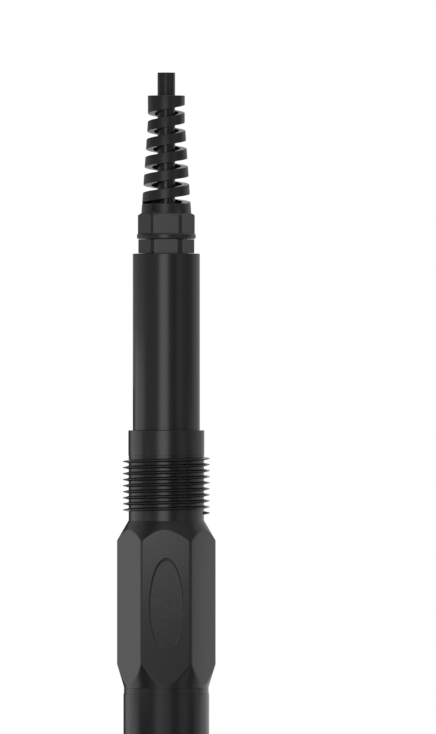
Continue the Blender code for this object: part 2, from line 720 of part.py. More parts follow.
def build_gland_body():
    """Gland body: hex, upper stub for the nut, lower threaded tail, and the seat for the seal."""
    outline = [
        (GLAND_STUB_RADIUS - SPIGOT_CHAMFER, GLAND_STUB_TOP),
        (GLAND_STUB_RADIUS, GLAND_STUB_TOP - SPIGOT_CHAMFER),
        (GLAND_STUB_RADIUS, GLAND_HEX_TOP),
        (GLAND_CORNER_RADIUS, GLAND_HEX_TOP),
        (GLAND_CORNER_RADIUS, GLAND_HEX_FOOT),
        (GLAND_TAIL_RADIUS, GLAND_HEX_FOOT),
        (GLAND_TAIL_RADIUS, GLAND_TAIL_FOOT + SPIGOT_CHAMFER),
        (GLAND_TAIL_RADIUS - SPIGOT_CHAMFER, GLAND_TAIL_FOOT),
        (CABLE_PASSAGE, GLAND_TAIL_FOOT),
        (CABLE_PASSAGE, SEAL_FOOT - GLAND_SEAL_BORE + CABLE_PASSAGE),
        (GLAND_SEAL_BORE, SEAL_FOOT),
        (GLAND_SEAL_BORE, GLAND_STUB_TOP),
    ]
    gland = turned("gland_body", outline, "black_gland")
    margin = SEAT_GAP / 2
    flats = hex_flats(
        "gland_flats", GLAND_ACROSS_FLATS, 2 * GLAND_CORNER_RADIUS,
        GLAND_HEX_TOP + margin, GLAND_HEX_FOOT - margin,
    )
    boolean(gland, flats, "DIFFERENCE")


def build_gland_seal():
    """Rubber bush round the cable, with the washer that the nut presses on it."""
    outer = GLAND_SEAL_BORE - SEAL_GAP
    inner = CABLE_RADIUS + SEAL_GAP
    washer_top = NUT_SHOULDER - SEAT_GAP
    washer_foot = washer_top - WASHER_HEIGHT
    seal_top = washer_foot - SEAT_GAP
    outline = [
        (outer, seal_top),
        (outer, SEAL_FOOT + SEAL_GAP),
        (outer - SPIGOT_CHAMFER, SEAL_FOOT + SEAL_GAP - SPIGOT_CHAMFER),
        (inner, SEAL_FOOT + SEAL_GAP - SPIGOT_CHAMFER),
        (inner, seal_top),
    ]
    turned("gland_seal", outline, "black_rubber", SMALL_STEPS)
    tube(
        "gland_washer", WASHER_RADIUS, CABLE_PASSAGE, washer_top, washer_foot,
        "black_gland", SMALL_STEPS,
    )


def spiral_radius(z):
    """Outer radius of the bend guard: straight at the top, then a slight cone down to the collar."""
    cone_top = SPIRAL_TOP - SPIRAL_STRAIGHT
    share = max(0.0, (cone_top - z) / (cone_top - NUT_CHAMFER_TOP))
    return SPIRAL_TOP_RADIUS + (NUT_COLLAR_RADIUS - SPIRAL_TOP_RADIUS) * share


def spiral_bore(z):
    """Inner radius of the bend guard, wider towards the nut."""
    share = (SPIRAL_TOP - z) / (SPIRAL_TOP - NUT_COLLAR_TOP)
    return SPIRAL_BORE_TOP + (SPIRAL_BORE_FOOT - SPIRAL_BORE_TOP) * min(1.0, share)


def spiral_section(z, share):
    """Corners of the flat band that winds round the cable, kept inside the collar and the ring."""
    low = max(z - SPIRAL_BAND / 2, NUT_SHOULDER + SPIRAL_INSET)
    high = min(z + SPIRAL_BAND / 2, SPIRAL_TOP - SPIRAL_INSET)
    return [
        (spiral_bore(low) + SPIRAL_INSET, low),
        (spiral_radius(low) - SPIRAL_INSET, low),
        (spiral_radius(high) - SPIRAL_INSET, high),
        (spiral_bore(high) + SPIRAL_INSET, high),
    ]


def build_spiral_nut():
    """Gland nut and spiral bend guard, moulded as one: skirt, hex, collar, spiral and top ring."""
    round_off = NUT_SKIRT_ROUND
    outline = [
        (spiral_radius(NUT_COLLAR_TOP), NUT_COLLAR_TOP),
        (NUT_COLLAR_RADIUS, NUT_CHAMFER_TOP),
        (NUT_CORNER_RADIUS, NUT_HEX_TOP),
        (NUT_CORNER_RADIUS, SKIRT_TOP),
        (NUT_SKIRT_RADIUS - round_off / 3, SKIRT_TOP),
        (NUT_SKIRT_RADIUS, SKIRT_TOP - round_off),
        (NUT_SKIRT_RADIUS, NUT_FOOT + round_off),
        (NUT_SKIRT_RADIUS - round_off / 3, NUT_FOOT),
        (NUT_THREAD_BORE, NUT_FOOT),
        (NUT_THREAD_BORE, NUT_SHOULDER),
        (SPIRAL_BORE_FOOT, NUT_SHOULDER),
        (SPIRAL_BORE_FOOT, NUT_COLLAR_TOP),
    ]
    nut = turned("gland_spiral_nut", outline, "black_gland")
    flats = hex_flats(
        "nut_flats", NUT_ACROSS_FLATS, 2 * NUT_CORNER_RADIUS,
        NUT_CHAMFER_TOP - SEAT_GAP / 4, SKIRT_TOP + SEAT_GAP / 4,
    )
    boolean(nut, flats, "DIFFERENCE")
    start = NUT_COLLAR_TOP - SPIRAL_START_DROP
    turns = (SPIRAL_TOP - SPIRAL_BAND / 2 + SPIRAL_END_RISE - start) / SPIRAL_PITCH
    band = helix_band("nut_spiral", spiral_section, start, turns, SPIRAL_PITCH, SMALL_STEPS)
    band.rotation_euler = (0.0, 0.0, math.radians(SPIRAL_START_ANGLE))
    boolean(nut, band, "UNION")
    ring_foot = SPIRAL_TOP - SPIRAL_RING_HEIGHT
    outline = [
        (SPIRAL_TOP_RADIUS, SPIRAL_TOP),
        (SPIRAL_TOP_RADIUS, ring_foot),
        (spiral_bore(ring_foot), ring_foot),
        (SPIRAL_BORE_TOP, SPIRAL_TOP),
    ]
    ring = turned("nut_ring", outline)
    boolean(nut, ring, "UNION")


def build_cable():
    """Cable from its square cut end down through the gland, with its four cores to the terminal."""
    tube("cable_jacket", CABLE_RADIUS, CABLE_BORE, CABLE_TOP, CABLE_FOOT, "black_cable", SMALL_STEPS)
    terminal_top = BOARD_TOP - TERMINAL_DROP
    sides = ((-1, -1), (-1, 1), (1, 1), (1, -1))
    offset = CORE_WIRE_OFFSET / math.sqrt(2)
    for color, side, pin in zip(("red", "green", "white", "black"), sides, terminal_pins()):
        x = side[0] * offset
        y = side[1] * offset
        bend = CABLE_FOOT - CORE_WIRE_RADIUS - CORE_STAGGER * (side[1] > 0)
        points = [
            (x, y, bend + CORE_LEAD_IN),
            (x, y, bend),
            (pin, TERMINAL_WIRE_Y, terminal_top + CORE_LEAD_IN),
            (pin, TERMINAL_WIRE_Y, terminal_top + FIT_GAP),
        ]
        wire(f"cable_core_{color}", (x, y, CABLE_TOP), points, CORE_WIRE_RADIUS, f"{color}_core")


def terminal_pins():
    """X of each way in the cable terminal."""
    step = TERMINAL_SIZE[0] / TERMINAL_WAYS
    return [(i - (TERMINAL_WAYS - 1) / 2) * step for i in range(TERMINAL_WAYS)]


def on_board(name, size, x, top, slot, edge=0.0):
    """A block that sits on the board's front face, with its upper end at the given level."""
    width, depth, height = size
    centre = (x, BOARD_FACE - depth / 2, top - height / 2)
    return box(name, width, depth, height, centre, slot, edge)


def build_circuit_board():
    """Board on edge in the tube's bore, with the parts that read, isolate and send the signal."""
    middle = (BOARD_TOP + BOARD_FOOT) / 2
    box("circuit_board", BOARD_WIDTH, BOARD_THICKNESS, BOARD_LENGTH, (0.0, 0.0, middle), "board")
    on_board("cable_terminal", TERMINAL_SIZE, 0.0, BOARD_TOP - TERMINAL_DROP, "terminal", BLOCK_EDGE)
    socket_top = BOARD_FOOT + SOCKET_RISE + SOCKET_SIZE[2]
    on_board("probe_socket", SOCKET_SIZE, 0.0, socket_top, "component", CHIP_EDGE)
    for name, (size, drop, x) in CHIPS.items():
        on_board(name, size, x, BOARD_TOP - drop, "component", CHIP_EDGE)
    on_board("clock_crystal", CRYSTAL_SIZE, 0.0, BOARD_TOP - CRYSTAL_DROP, "can", BLOCK_EDGE)
    for name, (radius, length, drop, x) in CAPACITORS.items():
        can = rod(name, radius, length / 2, -length / 2, "can", CAPACITOR_STEPS)
        can.rotation_euler = (math.pi / 2, 0.0, 0.0)
        can.location = Vector((x, BOARD_FACE - length / 2, BOARD_TOP - drop)) * MM


def build_probe_wires():
    """Wires from the probes up to the socket at the board's lower end."""
    socket_foot = BOARD_FOOT + SOCKET_RISE - FIT_GAP
    step = SOCKET_SIZE[0] / SOCKET_WAYS
    bend = CARRIER_TOP + PROBE_RISE + WIRE_LEAD_IN
    inside = 3 * SEAL_GAP
    probes = (
        ("lead_wire", LEAD_X, 0.0, -step, LEAD_REACH - MEMBRANE_RECESS - MEMBRANE_THICKNESS - inside),
        ("reference_wire", REFERENCE_X, 0.0, step, REFERENCE_REACH - JUNCTION_LENGTH - inside),
        ("temperature_wire", 0.0, TEMPERATURE_Y, 0.0, TEMPERATURE_REACH - 2 * TEMPERATURE_WALL - inside),
    )
    for name, x, y, pin, reach in probes:
        points = [
            (x, y, bend - WIRE_LEAD_IN),
            (x, y, bend),
            (pin, SOCKET_WIRE_Y, socket_foot - WIRE_LEAD_IN),
            (pin, SOCKET_WIRE_Y, socket_foot),
        ]
        start = (x, y, BARREL_FOOT - reach)
        wire(name, start, points, PROBE_WIRE_RADIUS, f"{PROBE_WIRE_COLORS[name]}_core")


def build():
    """Make every piece, from the cable down."""
    build_cable()
    build_spiral_nut()
    build_gland_seal()
    build_gland_body()
    build_rear_tube()
    build_grip_body()
    build_sensor_barrel()
    build_electrode_carrier()
    build_probes()
    build_sensor_guard()
    build_circuit_board()
    build_probe_wires()


build()
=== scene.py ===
"""Looks of the lead ion sensor: satin black plastic, spiral bend guard, thread, hex grip and probes.

The axis of the sensor is Z, with the cable at the top, and the grip's oval recess faces -Y. Sizes
are in millimetres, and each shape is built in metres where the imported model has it.
"""
import json
import math

import bpy
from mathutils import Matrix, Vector

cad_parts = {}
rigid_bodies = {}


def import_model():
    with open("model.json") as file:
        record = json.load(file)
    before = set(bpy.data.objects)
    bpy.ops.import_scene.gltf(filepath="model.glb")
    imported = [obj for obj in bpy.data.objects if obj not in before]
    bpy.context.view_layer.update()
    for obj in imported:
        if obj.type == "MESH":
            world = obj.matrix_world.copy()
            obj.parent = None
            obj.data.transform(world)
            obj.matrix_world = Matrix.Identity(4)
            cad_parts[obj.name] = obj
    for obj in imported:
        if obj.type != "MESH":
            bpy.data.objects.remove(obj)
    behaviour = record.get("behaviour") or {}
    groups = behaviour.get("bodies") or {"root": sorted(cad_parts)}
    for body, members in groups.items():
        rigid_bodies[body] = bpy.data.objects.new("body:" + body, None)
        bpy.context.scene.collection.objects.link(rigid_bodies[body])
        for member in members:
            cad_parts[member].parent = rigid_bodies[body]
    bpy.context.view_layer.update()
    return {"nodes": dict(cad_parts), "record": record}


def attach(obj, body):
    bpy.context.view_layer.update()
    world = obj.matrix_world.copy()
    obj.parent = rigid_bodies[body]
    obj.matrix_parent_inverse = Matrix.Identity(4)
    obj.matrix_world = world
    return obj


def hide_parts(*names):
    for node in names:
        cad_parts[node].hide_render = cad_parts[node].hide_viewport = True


MM = 0.001
TURN = 2 * math.pi

# Shading: least angle of a sharp edge, and how much a face's area counts in the normals beside it
SQUARE_EDGE = math.radians(75.0)
AREA_WEIGHT = 80

# Facets round one turn, and round the recess and one slot of the guard
ROUND = 120
SMALL = 64
THREAD_STEPS = 120
SPIRAL_STEPS = 96
RECESS_STEPS = 144
SLOT_STEPS = 96

# Hex in degrees: one side, and the angles from a corner that get a point, up to the middle of a flat
HEX_SIDE = 60.0
CORNER_ANGLES = (
    0.0, 0.3, 0.6, 0.9, 1.2, 1.5, 1.8, 2.2, 2.8, 3.6, 4.8, 6.3, 8.2, 10.4, 13.0, 16.0, 19.4, 23.0, 26.5,
)

# Levels along the axis
CABLE_TOP = 134.3
CABLE_FOOT = 69.1
SPIRAL_TOP = 127.4
NUT_COLLAR_TOP = 95.0
NUT_SHOULDER = 92.6
NUT_CHAMFER_TOP = 92.1
NUT_HEX_TOP = 91.3
SKIRT_TOP = 86.0
NUT_FOOT = 84.4
GLAND_STUB_TOP = 90.7
GLAND_HEX_TOP = 84.3
GLAND_HEX_FOOT = 80.1
GLAND_TAIL_FOOT = 73.1
SEAL_FOOT = 83.1
TUBE_TOP = 80.0
TUBE_ROOM_TOP = 72.0
TUBE_SPIGOT_FOOT = 9.5
COLLAR_TOP = 27.0
COLLAR_FOOT = 19.4
SOCKET_FLOOR = 9.2
GRIP_FOOT = -50.0
BARREL_TOP = -52.0
GRIP_SPIGOT_FOOT = -66.0
RIB_TOP = -66.3
RIB_FOOT = -68.8
CARRIER_FOOT = -80.6
BARREL_FOOT = -87.0
HEAD_FOOT = -162.0

# Radii
CABLE_RADIUS = 2.65
CABLE_BORE = 1.95
TUBE_RADIUS = 10.07
TUBE_SPIGOT_RADIUS = 9.1
TUBE_BORE = 7.2
COLLAR_RADIUS = 11.4
THREAD_CORE = 11.3
THREAD_CREST = 13.02
SHOULDER_RADIUS = 12.72
BARREL_RADIUS = 12.87
BARREL_BORE = 11.2
GRIP_BORE = 8.0

# Depth of the rib in the barrel, and gaps: round the spigots, round the gland's tail, and at the joint
# lines of tube, barrel and guard
RIB_DEPTH = 1.2
SPIGOT_GAP = 0.3
TAIL_GAP = 0.2
TUBE_LINE = 0.03
BARREL_LINE = 0.02
GUARD_LINE = 0.1

# Distances from an edge: of the row of points that supports it, and of a row that just misses it
SUPPORT = 0.05
HAIR = 0.01

# Radii of rounded edges
CABLE_EDGE = 0.12
CABLE_BORE_EDGE = 0.06
TUBE_EDGE = 0.25
TUBE_FOOT_EDGE = 0.05
COLLAR_EDGE = 0.2
COLLAR_FOOT_EDGE = 0.08
GRIP_FOOT_EDGE = 0.02
SPIGOT_EDGE = 0.5
BARREL_TOP_EDGE = 0.05
BARREL_EDGE = 0.12
STUB_EDGE = 0.3
GLAND_TOP_EDGE = 0.18
GLAND_FOOT_EDGE = 0.12
NUT_EDGE = 0.12
SKIRT_EDGE = 0.42
NUT_BORE_EDGE = 0.15
BAND_EDGE = 0.14
BAND_BORE_EDGE = 0.1
RING_EDGE = 0.16
RING_BORE_EDGE = 0.2
GUARD_SPIGOT_EDGE = 0.2
GUARD_NOSE_EDGE = 1.6
GUARD_MOUTH_EDGE = 0.35
GUARD_LIP_EDGE = 0.5
SLOT_EDGE = 0.35
PROBE_EDGE = 0.3
SEAT_EDGE = 0.08
CRYSTAL_EDGE = 0.12
JUNCTION_EDGE = 0.1
SHEATH_EDGE = 0.8

# Thread: pitch, turns, first level and width of the ridge at its foot and at its crest
THREAD_PITCH = 1.814
THREAD_TURNS = 9.16
THREAD_START = 2.2
THREAD_BASE = 1.1
THREAD_TIP = 0.26

# Thread: turns that its end fades over and how deep it sinks there, depth and spread of its root in the
# core, height of its foot on the core, and drop and spread of its rounded crest
THREAD_FADE = 0.12
THREAD_SINK = 0.15
THREAD_ROOT = 0.3
THREAD_ROOT_SPREAD = 0.15
THREAD_LIFT = 0.02
THREAD_CREST_DROP = 0.08
THREAD_CREST_SPREAD = 0.02

# Hex grip with its two cones: rows of points on each, how far the rows reach past the corners, and the
# levels that the hex is cut between
GRIP_APOTHEM = 12.95
GRIP_CORNER_EASE = 0.66
GRIP_ARC_EASE = 0.09
GRIP_TOP_SLOPE = math.tan(math.radians(30.0))
GRIP_FOOT_SLOPE = math.tan(math.radians(16.8))
GRIP_TOP_ROWS = 44
GRIP_FOOT_ROWS = 46
GRIP_REACH = 0.4
GRIP_CUT_TOP = 0.5
GRIP_CUT_FOOT = -50.3

# Thin line round the foot of the lower cone: its distance from the cone, width, depth and slant
FOOT_GROOVE_DROP = 0.31
FOOT_GROOVE_WIDTH = 0.14
FOOT_GROOVE = 0.25
FOOT_GROOVE_SLANT = 0.02

# Oval recess: size, depth of its rim at the top, width of the rounded rim and how much less it is there,
# where the rim fades at the foot, and how far its middle lies under the grip's top
RECESS_WIDTH = 10.0
RECESS_HEIGHT = 28.1
RECESS_RIM = 0.34
RECESS_LIP = 0.2
RECESS_LIP_LESS = 0.25
RECESS_FADE = 0.06
RECESS_DROP = 25.3

# Dish of the recess's floor: depth, power that leans it upwards, and crown across it
RECESS_DISH = 0.72
RECESS_LEAN = 1.6
RECESS_CROWN = 0.03

# Rows of the recess's cutter: before the rim, as reach in widths of the rim and distance from the flat,
# over the rim, and on the floor as shares of the oval
RECESS_FLARE = ((2.4, -0.3), (1.2, -0.015))
RECESS_RIM_ROWS = 8
RECESS_FLOOR_ROWS = (0.92, 0.84, 0.7, 0.5, 0.25)

# Gland: its hex, the thread of its stub, and its bores
GLAND_APOTHEM = 7.575
GLAND_CORNER = 8.4
GLAND_CORNER_EASE = 0.2
GLAND_ARC_EASE = 0.1
GLAND_HEX_ROW = 0.7
STUB_CREST = 6.05
STUB_ROOT = 5.5
STUB_PITCH = 1.5
STUB_TURNS = 3.6
STUB_RISE = 0.5
STUB_SINK = 0.2
STUB_BASE = 1.1
STUB_TIP = 0.24
STUB_FADE = 12
SEAL_BORE = 4.9
CABLE_PASSAGE = 2.95
TAIL_RADIUS = 6.2

# Nut: its hex, turned from a round blank, with a small step and a chamfer above and the skirt below
NUT_APOTHEM = 7.6
NUT_CORNER = 8.53
NUT_CORNER_EASE = 0.1
NUT_TURNED_EASE = 0.06
NUT_ARC_EASE = 0.08
NUT_BLANK = 8.81
NUT_STEP = 0.18
NUT_STEP_DROP = 0.05
NUT_CHAMFER_DROP = 0.75
NUT_CHAMFER_ROWS = 8
NUT_TOP_ROW = 0.4
NUT_FOOT_ROW = 0.12
NUT_COLLAR = 7.5
NUT_BORE = 6.3
SKIRT_RADIUS = 8.83
SKIRT_BAND = 0.5
SKIRT_SPARE = 0.02

# Spiral bend guard: its radii, the straight part and the ring at its top, and its flat band
SPIRAL_RADIUS = 5.56
SPIRAL_BORE = 3.3
SPIRAL_BORE_FOOT = 4.8
SPIRAL_STRAIGHT = 7.6
SPIRAL_RING = 2.8
SPIRAL_PITCH = 5.36
SPIRAL_BAND = 3.0
SPIRAL_START_DROP = 2.35
SPIRAL_END_RISE = 0.3

# The band's ends: how far they stay inside collar and ring, their least height, and the band's clearance
BAND_INSET = 0.06
BAND_LEAST = 0.7
BAND_CLEAR = 0.02

# Guard: its bores and slots, the parts of its wall above and below the slotted panels, the rows of points
# over a slot's edge, and the rows on the wall as shares of the way from the panel's border to the slot
GUARD_BORE = 11.0
GUARD_MOUTH = 9.6
GUARD_LIP = 4.0
GUARD_SPIGOT = 10.9
GUARD_SPIGOT_BORE = 9.4
GUARD_SLOT = 9.0
GUARD_SLOT_TOP = -99.1
GUARD_SLOT_FOOT = -150.0
GUARD_NECK = 4.0
GUARD_NOSE = 7.0
GUARD_PANELS = 4
SLOT_EDGE_ROWS = 4
WALL_ROWS = (0.0, 0.25, 0.5, 0.75, 0.92)

# Probes: radius, place and foot of each, the seats of their tips, and the channel of their wires
PROBE_TOP = -66.9
WIRE_CHANNEL = 0.75
LEAD_RADIUS = 4.0
LEAD_X = -4.3
LEAD_FOOT = -141.0
LEAD_SEAT = 3.05
LEAD_SEAT_DEPTH = 2.3
CRYSTAL_RADIUS = 2.9
CRYSTAL_INSET = 0.2
CRYSTAL_TOP = 2.2
REFERENCE_RADIUS = 3.5
REFERENCE_X = 4.8
REFERENCE_FOOT = -139.0
REFERENCE_SEAT = 2.05
REFERENCE_SEAT_DEPTH = 3.1
JUNCTION_RADIUS = 1.9
JUNCTION_LENGTH = 3.0
TEMPERATURE_RADIUS = 1.75
TEMPERATURE_Y = 6.0
TEMPERATURE_FOOT = -137.0
SHEATH_WALL = 0.5
SHEATH_TIP = 1.0

# Finishes by the record's slots: colour, roughness and its spread, scale of the grain and its depth
FINISHES = {
    "black_body": ((0.009, 0.0096, 0.0093), 0.27, 0.03, 4200.0, 0.0018),
    "black_gland": ((0.009, 0.0096, 0.0093), 0.33, 0.04, 4200.0, 0.004),
    "black_cable": ((0.0105, 0.011, 0.0108), 0.28, 0.04, 3600.0, 0.005),
    "black_rubber": ((0.012, 0.012, 0.012), 0.65, 0.08, 1800.0, 0.02),
    "red_core": ((0.55, 0.03, 0.02), 0.4, 0.05, 2500.0, 0.005),
    "black_core": ((0.015, 0.015, 0.015), 0.4, 0.05, 2500.0, 0.005),
    "green_core": ((0.03, 0.3, 0.06), 0.4, 0.05, 2500.0, 0.005),
    "white_core": ((0.75, 0.75, 0.72), 0.4, 0.05, 2500.0, 0.005),
    "grey_carrier": ((0.11, 0.11, 0.115), 0.45, 0.05, 2200.0, 0.01),
    "probe_resin": ((0.05, 0.05, 0.055), 0.24, 0.04, 1500.0, 0.004),
    "crystal": ((0.12, 0.12, 0.13), 0.14, 0.04, 900.0, 0.002),
    "junction": ((0.82, 0.8, 0.74), 0.8, 0.1, 6000.0, 0.03),
    "steel": ((0.55, 0.55, 0.56), 0.26, 0.05, 2000.0, 0.003),
    "board": ((0.01, 0.11, 0.05), 0.35, 0.06, 2500.0, 0.004),
    "component": ((0.018, 0.018, 0.018), 0.5, 0.08, 5000.0, 0.015),
    "terminal": ((0.02, 0.16, 0.07), 0.4, 0.05, 2500.0, 0.008),
    "can": ((0.6, 0.6, 0.62), 0.28, 0.05, 2500.0, 0.003),
}

# Finishes with turned lines: scale of the lines and their depth
TURNED_LINES = {
    "black_body": (1600.0, 0.0005),
    "grey_carrier": (1400.0, 0.003),
    "steel": (2600.0, 0.002),
}

# Finishes with metal in them, and its share
METAL = {"crystal": 0.3, "steel": 1.0, "can": 1.0}

# All finishes: refraction, how much the patches differ in colour, and the grain's range that the
# roughness follows
REFRACTION = 1.5
TINT = 0.12
GRAIN_LOW = 0.3
GRAIN_HIGH = 0.7

# Tracks of the circuit board: scale, width and colour
TRACK_SCALE = 420.0
TRACK_WIDTH = 0.06
TRACK_COLOR = (0.03, 0.2, 0.08, 1.0)

# Camera: height of its field in metres, lens and sensor, and its place and reach in metres
FIELD = 0.2202
LENS = 700.0
SENSOR = 36.0
VIEW_X = 0.0155
VIEW_Z = 0.04598
FAR_CLIP = 50.0

# Floor: half its side in metres, its grey, roughness and gloss, and where it turns into the background,
# in metres from the axis
FLOOR_HALF = 3.0
FLOOR_GREY = 0.86
FLOOR_ROUGH = 0.9
FLOOR_GLOSS = 0.1
FLOOR_FADE_START = 0.22
FLOOR_FADE_END = 0.7
WORLD_GREY = 0.8

# Panel lights in metres: the key's angle from the front towards +X, distance, width, height, level and
# radiance, and the top panel's side, distance behind the axis, level and radiance
KEY_ANGLE = math.radians(-8.7)
KEY_DISTANCE = 0.13
KEY_WIDTH = 0.0645
KEY_HEIGHT = 0.143
KEY_LEVEL = 0.0535
KEY_RADIANCE = 1.78
TOP_SIDE = 0.9
TOP_BACK = 0.15
TOP_LEVEL = 1.1
TOP_RADIANCE = 0.7

# Painted reflections, glowing panels round the sensor that only gloss sees: their radius, their top, the
# foot of their hood, their foot just above the floor, and the angle of one facet
REFLECTION_RADIUS = 137.0
REFLECTION_TOP = 320.0
REFLECTION_HOOD = 142.0
REFLECTION_FOOT = -161.0
REFLECTION_FACET = 4

# Panels of the painted reflections, with dim ones as painted shade in the reflections: angles from the
# front towards +X, level of the seam, glow below it, above it and in the hood
PAINTED_REFLECTION_PANELS = {
    "back_left": (-168, -140, 40, 0.02, 0.36, 0.3),
    "rear_left": (-140, -128, -15, 0.55, 0.36, 0.3),
    "left": (-128, -78, 52, 1.1, 0.5, 0.05),
    "left_dark_band": (-78, -48, -22, 0.02, 0.32, 0.0),
    "front_left": (-48, -30, -15, 0.15, 0.3, 0.1),
    "front": (-30, -6, -15, 0.78, 0.28, 0.33),
    "front_right": (-6, 12, -15, 0.5, 0.28, 0.33),
    "right_dark_band": (12, 34, 0, 0.05, 0.07, 0.33),
    "right_strip": (34, 58, 0, 0.42, 0.41, 0.33),
    "second_dark_band": (58, 80, 0, 0.06, 0.2, 0.33),
    "right": (80, 100, 30, 0.56, 0.22, 0.33),
    "back_right": (100, 168, 0, 0.96, 0.62, 0.6),
}

# Glowing strips in front of the panels, more painted reflection and painted shade: distance from the axis,
# angles, lower and upper level, glow
PAINTED_REFLECTION_STRIPS = {
    "left_edge": (131.0, -94, -78, -50, -8, 0.02),
    "left_strip": (131.0, -78, -46, -50, -5, 1.1),
    "grip_strip": (131.0, 26, 80, -50, -5, 0.5),
    "near_strip": (45.0, 83, 101, -52, -3, 0.26),
    "left_shade": (131.0, -98, -78, 128, 142, 0.1),
    "right_shade": (131.0, 86, 102, 122, 142, 0.0),
}


def add_object(name, data):
    """A new object of the scene."""
    obj = bpy.data.objects.new(name, data)
    bpy.context.scene.collection.objects.link(obj)
    return obj


def mesh_object(name, points, faces, slot):
    """A smooth-shaded piece from its points, in millimetres, and its faces."""
    mesh = bpy.data.meshes.new(name)
    mesh.from_pydata([(x * MM, y * MM, z * MM) for x, y, z in points], [], faces)
    mesh.polygons.foreach_set("use_smooth", [True] * len(mesh.polygons))
    mesh.materials.append(MATERIALS[slot])
    obj = add_object(name, mesh)
    return obj


def keep_flats(obj):
    """Shade flat faces flat and square edges sharp, and leave the turn of the light to the eased edges."""
    obj.data.set_sharp_from_angle(angle=SQUARE_EDGE)
    step = obj.modifiers.new("normals", "WEIGHTED_NORMAL")
    step.keep_sharp = True
    step.weight = AREA_WEIGHT


def applied(obj):
    """Replace a piece's mesh by the result of its modifiers."""
    graph = bpy.context.evaluated_depsgraph_get()
    mesh = bpy.data.meshes.new_from_object(obj.evaluated_get(graph))
    obj.modifiers.clear()
    obj.data = mesh


def eased(outline, steps=4):
    """The outline with each corner rounded that gives a radius as its third number."""
    points = []
    for i, (r, z, *ease) in enumerate(outline):
        here = Vector((r, z))
        if not ease:
            points.append((r, z))
            continue
        before = (Vector(outline[i - 1][:2]) - here).normalized()
        after = (Vector(outline[(i + 1) % len(outline)][:2]) - here).normalized()
        half = before.angle(after) / 2
        centre = here + (before + after).normalized() * ease[0] / math.sin(half)
        first = here + before * ease[0] / math.tan(half) - centre
        last = here + after * ease[0] / math.tan(half) - centre
        for k in range(steps + 1):
            side = first.lerp(last, k / steps).normalized() * ease[0]
            points.append(tuple(centre + side))
    return points


def even(steps):
    """Evenly spaced angles round one turn."""
    return [TURN * i / steps for i in range(steps)]


def hex_angles():
    """Angles round one turn, close together at the corners of a hex."""
    sector = [*CORNER_ANGLES, HEX_SIDE / 2, *[HEX_SIDE - a for a in reversed(CORNER_ANGLES[1:])]]
    return [math.radians(HEX_SIDE * i + a) for i in range(6) for a in sector]


def soft_min(a, b, ease):
    """The lesser of two lengths, rounded where they meet."""
    share = max(ease - abs(a - b), 0.0) / ease
    return min(a, b) - share * share * ease / 4


def hex_radius(angle, apothem, ease):
    """Distance from the axis to a hex with a flat to the front and rounded corners."""
    side = angle % (math.pi / 3) - math.pi / 6
    near = apothem / math.cos(side)
    next_side = apothem / math.cos(math.pi / 3 - abs(side))
    return soft_min(near, next_side, ease)


def hex_part(apothem, corner_ease, low, high, arc_ease):
    """A shape rule: cut the turned radius by a hex between two levels."""
    def shape(angle, radius, z):
        if not low <= z <= high:
            return radius
        return soft_min(radius, hex_radius(angle, apothem, corner_ease), arc_ease)
    return shape


def turned(name, outline, slot, angles=None, shape=None, at=(0.0, 0.0)):
    """Turn a closed outline of (radius, z), listed down its outer side and up its inner side."""
    angles = angles or even(ROUND)
    points = []
    rings = []
    for r, z in eased(outline):
        ring = []
        for angle in angles if r > 0 else angles[:1]:
            radius = shape(angle, r, z) if shape else r
            ring.append(len(points))
            points.append((at[0] + radius * math.cos(angle), at[1] + radius * math.sin(angle), z))
        rings.append(ring * len(angles) if r == 0 else ring)
    faces = []
    for upper, lower in zip(rings, rings[1:] + rings[:1]):
        for j in range(len(angles)):
            k = (j + 1) % len(angles)
            corners = dict.fromkeys((upper[j], lower[j], lower[k], upper[k]))
            if len(corners) > 2:
                faces.append(tuple(corners))
    return mesh_object(name, points, faces, slot)


def helix(name, section, start, turns, pitch, steps, slot, first_angle=0.0):
    """A right-handed ridge or band: section(z, share) gives the (radius, z) points of its outline."""
    count = round(turns * steps)
    points = []
    faces = []
    for i in range(count + 1):
        angle = first_angle + TURN * i / steps
        ring = section(start + pitch * i / steps, i / count)
        points += [(r * math.cos(angle), r * math.sin(angle), z) for r, z in ring]
    sides = len(points) // (count + 1)
    for i in range(count):
        for k in range(sides):
            m = (k + 1) % sides
            faces.append((i * sides + k, i * sides + m, (i + 1) * sides + m, (i + 1) * sides + k))
    faces.append(tuple(reversed(range(sides))))
    faces.append(tuple(range(count * sides, (count + 1) * sides)))
    return mesh_object(name, points, faces, slot)


def joined(main, *others):
    """Move the meshes of other pieces into the first one, which keeps its material."""
    points = []
    faces = []
    for obj in (main, *others):
        offset = len(points)
        points += [tuple(v.co) for v in obj.data.vertices]
        faces += [tuple(offset + i for i in p.vertices) for p in obj.data.polygons]
    mesh = bpy.data.meshes.new(main.name)
    mesh.from_pydata(points, [], faces)
    mesh.polygons.foreach_set("use_smooth", [True] * len(mesh.polygons))
    mesh.materials.append(main.data.materials[0])
    main.data = mesh
    for obj in others:
        bpy.data.objects.remove(obj, do_unlink=True)


def place(piece, body, *nodes):
    """Shade a finished piece, let it ride on a body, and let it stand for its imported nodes."""
    keep_flats(piece)
    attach(piece, body)
    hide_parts(*nodes)


def link(tree, start, end):
    """Join two sockets."""
    tree.links.new(start, end)


def add_node(tree, kind, **values):
    """A shader node with its input values set by name, or its own settings."""
    made = tree.nodes.new(kind)
    for key, value in values.items():
        if key in made.inputs:
            made.inputs[key].default_value = value
        else:
            setattr(made, key, value)
    return made


def grey(level):
    """A grey between black, 0, and white, 1."""
    return (level, level, level, 1.0)


